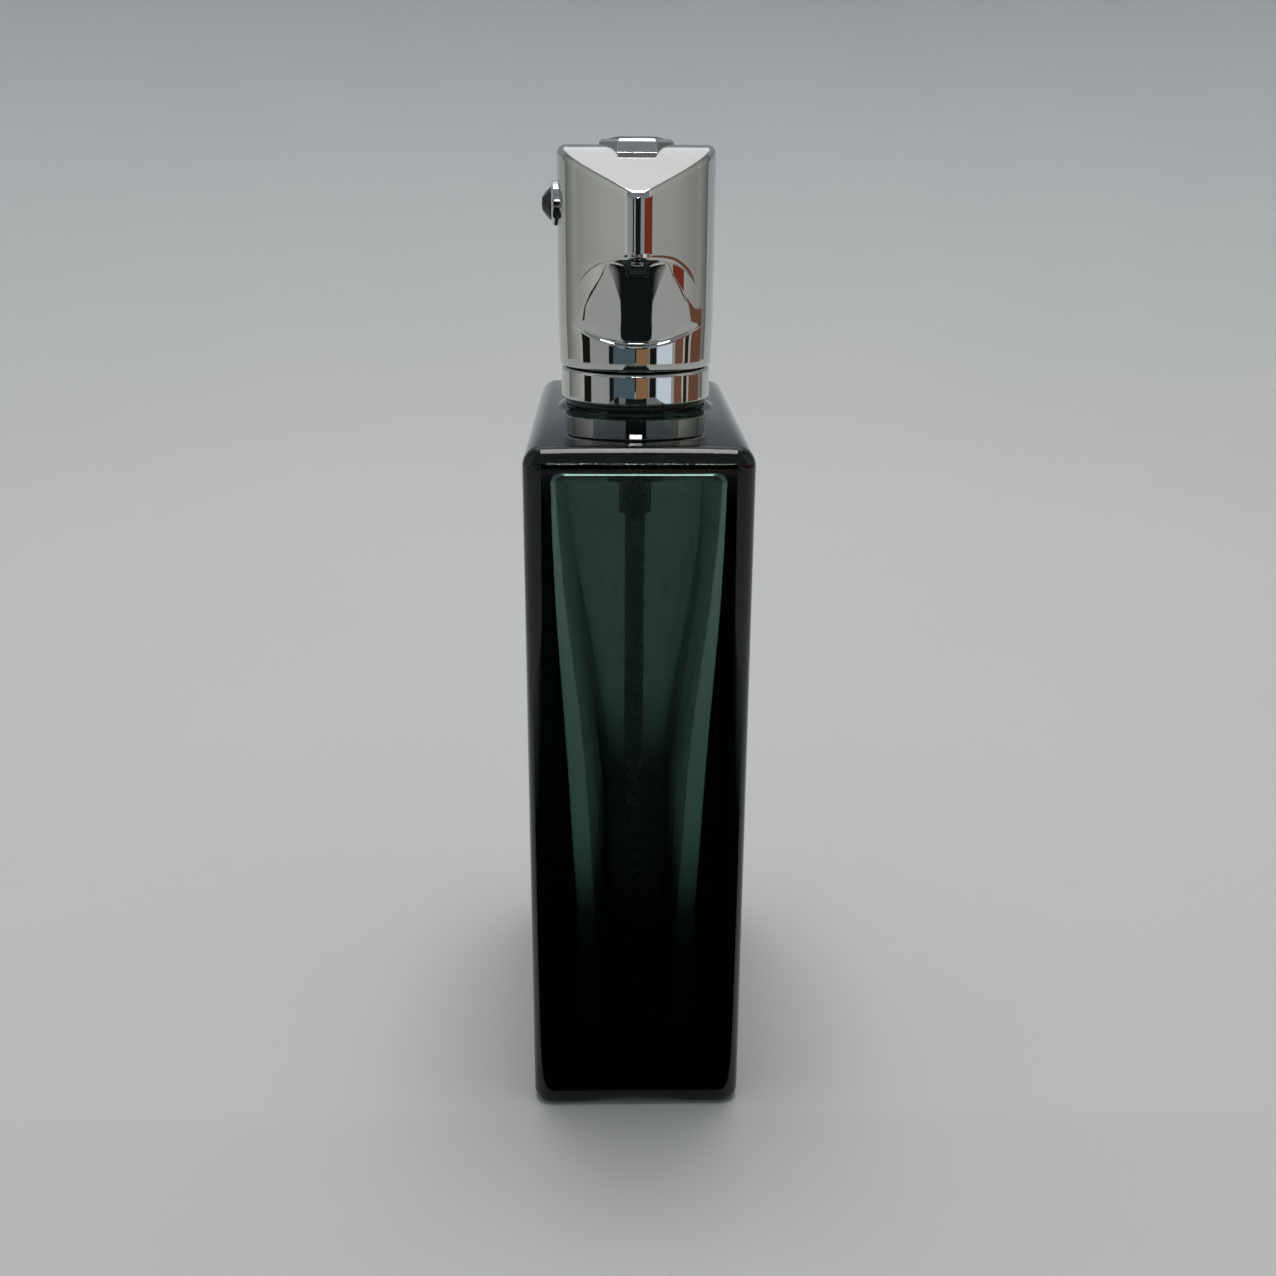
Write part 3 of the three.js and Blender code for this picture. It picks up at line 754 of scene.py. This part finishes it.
def scoop_points(angle, across):
    """Up a column from a scoop's foot to the top of its rounded lip."""
    outer = prow_radius(angle)
    crease = scoop_foot(across)
    heights = [crease + (SCOOP_CENTRE - crease) * step / 8 for step in range(1, 9)]
    points = [(scoop_radius(angle, z), z) for z in heights]
    rise = max(scoop_lip(across) - SCOOP_CENTRE, 1.0)
    depth = outer - scoop_radius(angle, SCOOP_CENTRE)
    edge = min(LIP_EDGE, 0.35 * depth, 0.35 * rise)
    short_of_lip = 0.992
    for a in quarter_turn(34)[1:]:
        z = SCOOP_CENTRE + rise * sin(a) * short_of_lip
        points.append((min(scoop_radius(angle, z), outer - edge), z))
    edge_height = max(edge, LEAST_STEP)
    for a in quarter_turn(6):
        z = SCOOP_CENTRE + rise + edge_height * (1 - cos(a))
        points.append((outer - edge + edge * sin(a), z))
    return points


def roof_points(outer, lip, cos_y):
    """Up a column from a scoop's lip, over the roof's rounded edge and in towards its middle."""
    slope_angle = atan(ROOF_SLOPE * cos_y * smoothstep(outer * cos_y, 0, 2 * RIDGE_HALF))
    turn = pi / 2 - slope_angle
    bottom = roof_height(outer * cos_y) - TOP_EDGE * tan(turn / 2)
    points = [(outer, lip + (bottom - lip) * share) for share in (0.1, 0.35, 0.65, 0.9)]
    steps = 9
    for step in range(steps + 1):
        a = turn * step / steps
        points.append((outer - TOP_EDGE * (1 - cos(a)), bottom + TOP_EDGE * sin(a)))
    edge_radius, edge_height = points[-1]
    offset = edge_height - roof_height(edge_radius * cos_y)
    for share in (0.97, 0.92, 0.85, 0.75, 0.65, 0.55, 0.45, 0.35, 0.25, 0.15, 0.07):
        radius = edge_radius * share
        points.append((radius, roof_height(radius * cos_y) + offset * max(0, (share - 0.75) / 0.25)))
    return points


def cap_column(angle, cos_y):
    """One upright line of the cap's outside, from its foot to near the middle of the roof."""
    across = scoop_share(angle)
    scoop = scoop_points(angle, across)
    lip = scoop[-1][1]
    return band_points(across) + scoop + roof_points(prow_radius(angle), lip, cos_y)


def cap_inside():
    """The bore that takes the liner, from near its ceiling's middle down to the cap's foot."""
    return [
        (CAP_BORE * 0.5, CAP_BORE_TOP),
        (CAP_BORE - 0.2, CAP_BORE_TOP),
        (CAP_BORE, CAP_BORE_TOP - 0.2),
        (CAP_BORE, CAP_BORE_TOP - 8),
        (CAP_BORE, CAP_BOTTOM + 3),
        (CAP_BORE, CAP_FOOT + 0.15),
        (CAP_BORE + 0.15, CAP_FOOT),
    ]


def cap_shell():
    """The cap from upright columns, whose angles are measured from the rear prow at +Y."""
    turns = [TURN * k / CAP_COLUMNS for k in range(CAP_COLUMNS)]
    columns = []
    for turn in turns:
        cos_y = abs(cos(turn))
        from_prow = atan2(abs(sin(turn)), cos_y)
        columns.append(cap_inside() + cap_column(from_prow, cos_y))
    rings = [[(0, 0, CAP_BORE_TOP)]]
    for row in range(len(columns[0])):
        ring = []
        for turn, column in zip(turns, columns):
            radius, z = column[row]
            ring.append((-radius * sin(turn), radius * cos(turn), z))
        rings.append(ring)
    rings.append([(0, 0, roof_height(0))])
    obj = loft("cap_tower", rings)
    even_shading(obj)
    place(obj, "cap", "cap_chrome", CAP_CHROME, "cap_shell")


def cap_liner():
    span = Span("cap_liner")
    bore = 9.1
    ceiling = 127.0
    obj = turned("cap_cup", [
        (bore, span.bottom, 0.35),
        (span.radius, span.bottom, 0.3),
        (span.radius, span.top, 0.4),
        (0, span.top, 0),
        (0, ceiling, 0),
        (bore, ceiling, 1.2),
    ])
    place(obj, "cap", "black_plastic", BLACK_PLASTIC, "cap_liner")


# ---- stones and bezels

def brilliant(name, radius, table, bottom, top, sides):
    """A faceted stone: a straight girdle, a row of triangular facets, and a flat table."""
    girdle = bottom + (top - bottom) * 0.3
    middle = girdle + (top - girdle) * 0.55
    double = sides * 2
    points = []
    points += ring_points(radius, bottom, double)
    points += ring_points(radius, girdle, double)
    waist = len(points)
    points += ring_points((radius + table) / 2 + 0.02 * radius, middle, sides)
    crown = len(points)
    points += ring_points(table, top, sides, 0.5)
    faces = [list(range(double))[::-1], list(range(crown, crown + sides))]
    for k in range(double):
        n = (k + 1) % double
        faces.append([k, n, double + n, double + k])
    for k in range(sides):
        n = (k + 1) % sides
        low = double + 2 * k
        low_middle = double + 2 * k + 1
        low_next = double + (2 * k + 2) % double
        faces.append([low, low_middle, waist + k])
        faces.append([low_middle, low_next, waist + n])
        faces.append([low_middle, waist + n, crown + k, waist + k])
        faces.append([waist + n, crown + n, crown + k])
    return mesh_object(name, points, faces, smooth=False)


def soften_edges(obj, width_mm, segments=2):
    modifier = obj.modifiers.new("soft_edges", "BEVEL")
    modifier.width = width_mm * MM
    modifier.segments = segments
    modifier.limit_method = "ANGLE"
    modifier.angle_limit = STONE_CREASE
    modifier.harden_normals = True


def side_stone():
    low, high = node_box("side_gem")
    height = (low.z + high.z) / 2
    stone = brilliant("front_stone", (high.z - low.z) / 2, 0.9, -high.x, -low.x, 8)
    soften_edges(stone, 0.03)
    turn_to_front(stone, height)
    place(stone, "cap", "dark_stone", STONE, "side_gem")
    low, high = node_box("side_bezel")
    radius = (high.z - low.z) / 2
    opening = 2.33
    lip = 0.4
    bezel = turned("front_bezel", [
        (0, -high.x, 0),
        (radius, -high.x, 0.05),
        (radius, -low.x, 0.35),
        (opening, -low.x, 0.1),
        (opening, -low.x - lip, 0),
        (0, -low.x - lip, 0),
    ], 96)
    turn_to_front(bezel, height)
    place(bezel, "cap", "bezel_chrome", BEZEL_CHROME, "side_bezel")


def top_stone():
    low, high = node_box("top_gem")
    stone = brilliant("roof_stone", high.x, 3.0, low.z, high.z, 6)
    soften_edges(stone, 0.04)
    place(stone, "cap", "dark_stone", STONE, "top_gem")
    low, high = node_box("top_bezel")
    radius = high.x
    opening = 4.45
    lip = 0.5
    rings = [
        [(0, 0, low.z)],
        ring_points(radius, low.z, 6),
        ring_points(radius, low.z + 0.3, 6),
        ring_points(radius - 0.4, high.z - 0.35, 6),
        ring_points(radius - 0.75, high.z, 6),
        ring_points(opening, high.z, 6),
        ring_points(opening, high.z - lip, 6),
        [(0, 0, high.z - lip)],
    ]
    bezel = loft("roof_bezel", rings, smooth=False)
    soften_edges(bezel, 0.08, 3)
    place(bezel, "cap", "bezel_chrome", BEZEL_CHROME, "top_bezel")


# ---- actuator

BUTTON_METAL = 0.35
BUTTON_DISH = 0.3


def nozzle_place():
    """The height of the nozzle's axis, and its radius."""
    low, high = node_box("nozzle_insert")
    return (low.z + high.z) / 2, (high.z - low.z) / 2


def drill_for_nozzle(obj):
    """Cuts the hole that the spray nozzle sits in."""
    height, radius = nozzle_place()
    drilled(obj, radius + 0.1, height, 4.3, Span("actuator_shell").radius + 1)


def actuator_shell():
    """The bright cup, dished on top."""
    span = Span("actuator_shell")
    inside = span.radius - BUTTON_METAL
    dish_rim = span.radius - 1.3
    dish_foot = span.radius - 2.2
    dish_top = span.top - BUTTON_DISH
    obj = turned("button_cup", [
        (0, dish_top - BUTTON_METAL, 0),
        (dish_foot, dish_top - BUTTON_METAL, 0),
        (dish_rim, span.top - BUTTON_METAL - 0.1, 0.3),
        (inside, span.top - BUTTON_METAL - 0.1, 0.6),
        (inside, span.bottom, 0.1),
        (span.radius, span.bottom, 0.15),
        (span.radius, span.top, 0.8),
        (dish_rim, span.top, 0.4),
        (dish_foot, dish_top, 0.5),
        (0, dish_top, 0),
    ])
    drill_for_nozzle(obj)
    place(obj, "actuator", "actuator_metal", ACTUATOR_METAL, "actuator_shell")


def actuator_button():
    """The plastic button in the cup, with a socket for the stem and a skirt round it."""
    span = Span("actuator_button")
    ceiling = Span("actuator_shell").top - BUTTON_DISH - BUTTON_METAL - 0.3
    socket_top = Span("pump_stem").top + 0.1
    socket = 1.75
    skirt = span.radius - 0.9
    obj = turned("button_core", [
        (socket, span.bottom + 2.6, 0.15),
        (skirt, span.bottom + 2.6, 0.2),
        (skirt, span.bottom + 0.2, 0.1),
        (span.radius, span.bottom + 0.2, 0.15),
        (span.radius, ceiling, 0.4),
        (0, ceiling, 0),
        (0, socket_top, 0),
        (socket, socket_top, 0.1),
    ])
    drill_for_nozzle(obj)
    place(obj, "actuator", "black_plastic", BLACK_PLASTIC, "actuator_button")


def nozzle_insert():
    """The spray nozzle in the button's side, with a fine hole in a dished face."""
    low, high = node_box("nozzle_insert")
    height, radius = nozzle_place()
    back, front = -high.x, -low.x
    hole = 0.15
    obj = turned("spray_nozzle", [
        (hole, back, 0),
        (radius, back, 0.1),
        (radius, front, 0.2),
        (1.35, front, 0.12),
        (1.2, front - 0.3, 0.1),
        (0.85, front - 0.3, 0.1),
        (hole, front - 0.75, 0.05),
    ], 64)
    turn_to_front(obj, height)
    place(obj, "actuator", "black_plastic", BLACK_PLASTIC, "nozzle_insert")


# ---- pump

def crimp_ferrule():
    """The aluminium cup rolled under the neck's bead, with a raised boss round the stem."""
    span = Span("crimp_ferrule")
    metal = 0.35
    plate = 110.35
    boss = 5.35
    mouth = 3.6
    bead = NECK_TOP - BEAD_HEIGHT
    roll = NECK_RADIUS + 0.12
    skirt = span.radius - metal
    obj = turned("ferrule_cup", [
        (roll, bead - 1.3, 0.05),
        (roll + metal, bead - 1.3, 0.15),
        (span.radius, bead - 0.3, 0.5),
        (span.radius, plate, 0.6),
        (boss, plate, 0.3),
        (boss, span.top, 0.6),
        (mouth, span.top, 0.15),
        (mouth, span.top - metal, 0.1),
        (boss - metal, span.top - metal, 0.25),
        (boss - metal, plate - metal, 0.2),
        (skirt, plate - metal, 0.3),
        (skirt, bead, 0.3),
        (roll, bead - 0.8, 0.1),
    ])
    place(obj, "bottle", "ferrule_aluminium", FERRULE_METAL, "crimp_ferrule")


def neck_gasket():
    span = Span("neck_gasket")
    bore = BORE + 0.3
    obj = turned("gasket_ring", [
        (bore, span.bottom, 0.1),
        (span.radius, span.bottom, 0.15),
        (span.radius, span.top, 0.15),
        (bore, span.top, 0.1),
    ])
    place(obj, "bottle", "seal_rubber", RUBBER, "neck_gasket")


CHAMBER = 2.9
CHAMBER_BOTTOM = 91.6
CHAMBER_TOP = 105.8
TUBE_RADIUS = 1.5
TUBE_BORE = 1.0
SOCKET_TOP = 89.0
STEM_RADIUS = 1.65
RUNNING_GAP = 0.05


def pump_housing():
    """The pump's body: a flange on the gasket, the chamber, the ball's seat and the tube's socket."""
    span = Span("pump_housing")
    barrel = 4.2
    tail = 2.4
    cage = Span("inlet_ball").radius + 0.15
    obj = turned("pump_body", [
        (CHAMBER + 0.5, span.top, 0.1),
        (CHAMBER + 0.5, CHAMBER_TOP, 0),
        (CHAMBER, CHAMBER_TOP, 0.1),
        (CHAMBER, CHAMBER_BOTTOM, 0.2),
        (cage, CHAMBER_BOTTOM, 0.1),
        (cage, SOCKET_TOP + 1.5, 0.1),
        (0.7, SOCKET_TOP + 0.6, 0.05),
        (0.7, SOCKET_TOP, 0),
        (TUBE_RADIUS + 0.1, SOCKET_TOP, 0.1),
        (TUBE_RADIUS + 0.1, span.bottom, 0.2),
        (tail, span.bottom, 0.25),
        (tail, CHAMBER_BOTTOM - 2.4, 0.8),
        (barrel, CHAMBER_BOTTOM, 0.8),
        (barrel, span.top - 0.8, 0.2),
        (span.radius, span.top - 0.8, 0.15),
        (span.radius, span.top, 0.15),
    ])
    place(obj, "bottle", "natural_plastic", NATURAL_PLASTIC, "pump_housing")


def pump_turret():
    span = Span("pump_turret")
    bore = STEM_RADIUS + RUNNING_GAP
    skirt = CHAMBER + 0.4
    shelf = Span("pump_housing").top + 0.05
    obj = turned("turret_plug", [
        (bore, span.bottom, 0.1),
        (skirt, span.bottom, 0.1),
        (skirt, shelf, 0.1),
        (span.radius, shelf, 0.15),
        (span.radius, span.top - 0.6, 0.3),
        (3.4, span.top - 0.6, 0.1),
        (3.2, span.top, 0.15),
        (bore, span.top, 0.15),
    ])
    place(obj, "bottle", "white_plastic", WHITE_PLASTIC, "pump_turret")


def stem_seal():
    span = Span("stem_seal")
    bore = STEM_RADIUS + RUNNING_GAP
    obj = turned("seal_washer", [
        (bore, span.bottom, 0.1),
        (span.radius, span.bottom, 0.1),
        (span.radius, span.top, 0.1),
        (bore, span.top, 0.1),
    ])
    place(obj, "bottle", "seal_rubber", RUBBER, "stem_seal")


def pump_stem():
    """The hollow stem, with a foot under the piston and a cross hole that the piston covers."""
    span = Span("pump_stem")
    piston = Span("pump_piston")
    foot_top = piston.bottom - 0.05
    shoulder = piston.top + 0.55
    bore = 0.6
    bore_bottom = piston.bottom + 0.7
    obj = turned("stem_tube", [
        (0, span.bottom, 0),
        (0.9, span.bottom, 0.1),
        (span.radius, span.bottom + 0.6, 0.15),
        (span.radius, foot_top, 0.1),
        (1.05, foot_top, 0.1),
        (1.05, shoulder, 0.1),
        (STEM_RADIUS, shoulder, 0.1),
        (STEM_RADIUS, span.top, 0.15),
        (bore, span.top, 0.1),
        (bore, bore_bottom, 0.1),
        (0, bore_bottom, 0),
    ], 96)
    drilled(obj, 0.3, piston.bottom + 1, -2, 2)
    place(obj, "stem", "white_plastic", WHITE_PLASTIC, "pump_stem")


def pump_piston():
    span = Span("pump_piston")
    wiper = span.radius
    bore = 1.05 + RUNNING_GAP
    obj = turned("piston_cup", [
        (bore, span.bottom, 0.1),
        (1.8, span.bottom, 0.1),
        (2.2, span.bottom + 0.7, 0.15),
        (wiper - 0.3, span.bottom, 0.08),
        (wiper, span.bottom, 0.08),
        (wiper - 0.15, span.bottom + 1.3, 0.5),
        (wiper, span.top, 0.08),
        (wiper - 0.3, span.top, 0.08),
        (2.2, span.top - 0.7, 0.15),
        (1.8, span.top, 0.1),
        (bore, span.top, 0.1),
    ], 96)
    place(obj, "piston", "white_plastic", WHITE_PLASTIC, "pump_piston")


def inlet_ball():
    span = Span("inlet_ball")
    centre = (span.bottom + span.top) / 2
    steps = 24
    rings = [[(0, 0, span.bottom)]]
    for step in range(1, steps):
        a = pi * step / steps
        rings.append(ring_points(span.radius * sin(a), centre - span.radius * cos(a), 48))
    rings.append([(0, 0, span.top)])
    place(loft("valve_ball", rings), "ball", "spring_steel", STEEL, "inlet_ball")


def main_spring():
    """The return spring, wound a little closer at its ends."""
    span = Span("main_spring")
    wire = 0.25
    coils = 6
    steps = 48 * coils
    radius = span.radius - wire
    bottom = span.bottom + wire
    rise = span.top - span.bottom - 2 * wire
    route = []
    for step in range(steps + 1):
        t = step / steps
        climb = smoothstep(t, 0, 1) * 0.35 + t * 0.65
        angle = TURN * coils * t
        route.append((radius * cos(angle), radius * sin(angle), bottom + rise * climb))
    obj = swept("return_spring", route, wire, sides=12)
    place(obj, "bottle", "spring_steel", STEEL, "main_spring")
    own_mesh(obj)


TUBE_ROUTE = [(0, 88.9), (0, 84), (0.3, 76), (3, 52), (7.6, 30), (14.5, 10)]  # (y, z)


def smooth_route(knots, steps):
    """Points on a Catmull-Rom curve through knots in the YZ plane."""
    knots = [Vector(knot) for knot in knots]
    knots = [2 * knots[0] - knots[1]] + knots + [2 * knots[-1] - knots[-2]]
    route = []
    for a, b, c, d in zip(knots, knots[1:], knots[2:], knots[3:]):
        for step in range(steps):
            t = step / steps
            squared = (2 * a - 5 * b + 4 * c - d) * t ** 2
            cubed = (3 * b - a - 3 * c + d) * t ** 3
            curve = 2 * b + (c - a) * t + squared + cubed
            route.append((0, curve.x / 2, curve.y / 2))
    route.append((0, *knots[-2]))
    return route


def dip_tube():
    obj = swept("dip_tube_hose", smooth_route(TUBE_ROUTE, 12), TUBE_RADIUS, TUBE_BORE, 32)
    place(obj, "bottle", "natural_plastic", NATURAL_PLASTIC, "dip_tube")


# ---- camera, floor and light

def camera():
    """The photograph's viewpoint, close in front and looking down, with plain picture tones."""
    data = bpy.data.cameras.new("camera")
    data.sensor_width = 36
    data.lens = 40.2
    data.clip_start = 0.01
    obj = scene_object("camera", data)
    turn = Matrix.Rotation(radians(-1.26), 4, "Z")
    tilt = Matrix.Rotation(radians(90 - 18.53), 4, "X")
    roll = Matrix.Rotation(radians(0.31), 4, "Z")
    obj.matrix_world = Matrix.Translation((-0.0040, -0.2084, 0.1321)) @ turn @ tilt @ roll
    bpy.context.scene.camera = obj
    bpy.context.scene.view_settings.view_transform = "Standard"


def studio_bowl():
    """A pale floor that curves up into a wall all round, with painted shade that makes the wall darker
    and bluer towards its top.
    """
    flat = 550
    bend = 350
    height = 1100
    steps = 96
    profile = [(200, 0), (flat, 0)]
    for a in quarter_turn(12)[1:]:
        profile.append((flat + bend * sin(a), bend * (1 - cos(a))))
    profile.append((flat + bend, height))
    rings = [ring_points(r, z, steps) for r, z in reversed(profile)]
    obj = loft("studio_bowl", rings + [[(0, 0, 0)]])
    material, tree, shader = new_material("studio_paper")
    # Painted shade: darker and bluer from the floor up to 0.3 m of wall, with a faint blotchy tone over
    # it.
    rise = ranged(tree, object_axes(tree)["Z"], 0, 1, 0.0, 0.3)
    grain = combined(tree, "MULTIPLY", object_noise(tree, 12, 4), 0.12)
    shade = combined(tree, "ADD", rise, grain)
    painted(tree, shader, shade, (0.65, 0.65, 0.62), (0.36, 0.39, 0.42))
    shader.inputs["Roughness"].default_value = 0.6
    obj.data.materials.append(material)


def reflected_only(obj, material):
    """Leaves a stage object to reflections: it is unseen, lights nothing and casts no shadow."""
    obj.data.materials.append(material)
    obj.visible_camera = False
    obj.visible_shadow = False
    obj.visible_diffuse = False
    obj.visible_transmission = False


def bearing_mix(tree, colours, bearings):
    """A colour that goes from one to another as the bearing from the front grows."""
    axes = object_axes(tree)
    back = combined(tree, "MULTIPLY", axes["Y"], -1)
    bearing = combined(tree, "ARCTAN2", axes["X"], back)
    share = ranged(tree, bearing, 0, 1, radians(bearings[0]), radians(bearings[1]))
    return mixed_colour(tree, share, *colours)


def glow(name, colour, strength=1):
    """A plain glowing material that takes no light."""
    material, _, shader = new_material(name)
    shader.inputs["Base Color"].default_value = (0, 0, 0, 1)
    shader.inputs["Roughness"].default_value = 1
    shader.inputs["Specular IOR Level"].default_value = 0
    shader.inputs["Emission Color"].default_value = (*colour, 1)
    shader.inputs["Emission Strength"].default_value = strength
    material.cycles.emission_sampling = "NONE"
    return material


def glow_from(tree, colour):
    """Makes a glowing material take its colour from a socket."""
    tree.links.new(colour, tree.nodes["Principled BSDF"].inputs["Emission Color"])


def card(name, bearings, distance, heights, colour, end_colour=None):
    """A curved upright card between two bearings: 0 is the front, 90 is +X. Sizes are in metres."""
    start, end = bearings
    bottom, top = heights
    step_angle = 6
    steps = max(1, round(abs(end - start) / step_angle))
    points = []
    for step in range(steps + 1):
        a = radians(start + (end - start) * step / steps)
        for z in (bottom, top):
            points.append((distance * sin(a) / MM, -distance * cos(a) / MM, z / MM))
    faces = [[2 * k, 2 * k + 2, 2 * k + 3, 2 * k + 1] for k in range(steps)]
    obj = mesh_object(name, points, faces)
    material = glow(name, colour)
    if end_colour:
        tree = material.node_tree
        glow_from(tree, bearing_mix(tree, (colour, end_colour), bearings))
    reflected_only(obj, material)


def bead_strip():
    """A strip of small lamps in front and above, which draws a beaded line along the glass edge."""
    beads = 44
    pitch = 4
    width = 2.2
    height = 20
    y, z = -550, 290
    points = []
    faces = []
    for k in range(beads):
        x = (k - (beads - 1) / 2) * pitch
        faces.append(range(len(points), len(points) + 4))
        left, right = x - width / 2, x + width / 2
        points += [(left, y, z), (left, y, z + height), (right, y, z + height), (right, y, z)]
    obj = mesh_object("bead_strip", points, faces, smooth=False)
    reflected_only(obj, glow("bead_strip", (1, 1, 1), 36))


def dark_floor():
    """Painted shade for reflections: a dark glowing sheet over the table in front of the bottle, seen
    only mirrored, fading into a glowing pale grey that stands in for the lit floor round it.
    """
    right = [(180, -33, 1), (190, -100, 1), (105, -240, 1), (150, -620, 1)]
    left = [(-x, y, z) for x, y, z in reversed(right)]
    obj = mesh_object("dark_floor", right + left, [range(7, -1, -1)])
    dark = (0.008, 0.01, 0.011)
    lit = (0.42, 0.42, 0.41)
    material = glow("dark_floor", dark)
    tree = material.node_tree
    axes = object_axes(tree)
    aside = ranged(tree, combined(tree, "ABSOLUTE", axes["X"]), 0, 1, 0.1, 0.18)
    away = ranged(tree, axes["Y"], 1, 0, -0.62, -0.42)
    # Painted shade in reflections: dark in front of the bottle, turning to a painted lit floor towards
    # the sides and far away.
    glow_from(tree, mixed_colour(tree, combined(tree, "MAXIMUM", aside, away), dark, lit))
    reflected_only(obj, material)


def area_light(name, location, target, size, power, size_y=None):
    data = bpy.data.lights.new(name, "AREA")
    data.energy = power
    data.shape = "RECTANGLE"
    data.size = size
    data.size_y = size_y or size
    obj = scene_object(name, data)
    obj.location = location
    aim = Vector(target) - Vector(location)
    obj.rotation_euler = aim.to_track_quat("-Z", "Y").to_euler()


def world_light(colour, strength):
    world = bpy.data.worlds.new("studio")
    world.use_nodes = True
    background = world.node_tree.nodes["Background"]
    background.inputs["Color"].default_value = (*colour, 1)
    background.inputs["Strength"].default_value = strength
    bpy.context.scene.world = world


# ---- the scene

camera()
studio_bowl()
world_light((0.88, 0.93, 1.0), 0.27)
area_light("overhead", (0.0, 0.12, 1.3), (0, 0.1, 0), 0.6, 8.0)
area_light("roof_window", (0.0, 0.62, 0.95), (0, 0, 0.12), 1.0, 1.65, 0.7)
bead_strip()
dark_floor()
card("dark_front", (-16, 16), 0.62, (0.0, 0.34), (0.01, 0.012, 0.014))
card("wall_left", (-125, -72), 0.6, (0.0, 1.0), (0.16, 0.17, 0.16), (0.62, 0.64, 0.62))
card("wall_right", (72, 125), 0.6, (0.0, 1.0), (0.6, 0.6, 0.57), (0.14, 0.14, 0.135))
for low_card, bearings, top, colour in (
    ("black_door", (-86, -72), 0.07, (0.012, 0.01, 0.01)),
    ("dark_post", (-41, -34), 0.07, (0.012, 0.012, 0.014)),
    ("blue_shelf", (-34, -2), 0.06, (0.09, 0.13, 0.16)),
    ("brown_panel", (0, 19), 0.066, (0.3, 0.17, 0.09)),
    ("black_gap", (20, 30), 0.07, (0.01, 0.01, 0.012)),
    ("pale_window", (31, 55), 0.07, (0.75, 0.85, 0.95)),
    ("brown_shelf", (60, 74), 0.07, (0.2, 0.09, 0.06)),
    ("dark_shelf", (77, 84), 0.07, (0.03, 0.02, 0.015)),
    ("brown_door", (88, 112), 0.07, (0.17, 0.08, 0.05)),
):
    card(low_card, bearings, 0.45, (0.02, top), colour)
card("red_banner", (40, 90), 0.5, (0.07, 0.15), (0.22, 0.04, 0.022))
card("dark_lamp", (-34, -26), 0.5, (0.07, 0.16), (0.01, 0.01, 0.01))

glass_bottle()
collar_insert()
collar_shell()
cap_shell()
cap_liner()
side_stone()
top_stone()
actuator_shell()
actuator_button()
nozzle_insert()
neck_gasket()
crimp_ferrule()
pump_housing()
pump_turret()
stem_seal()
pump_stem()
pump_piston()
inlet_ball()
main_spring()
dip_tube()
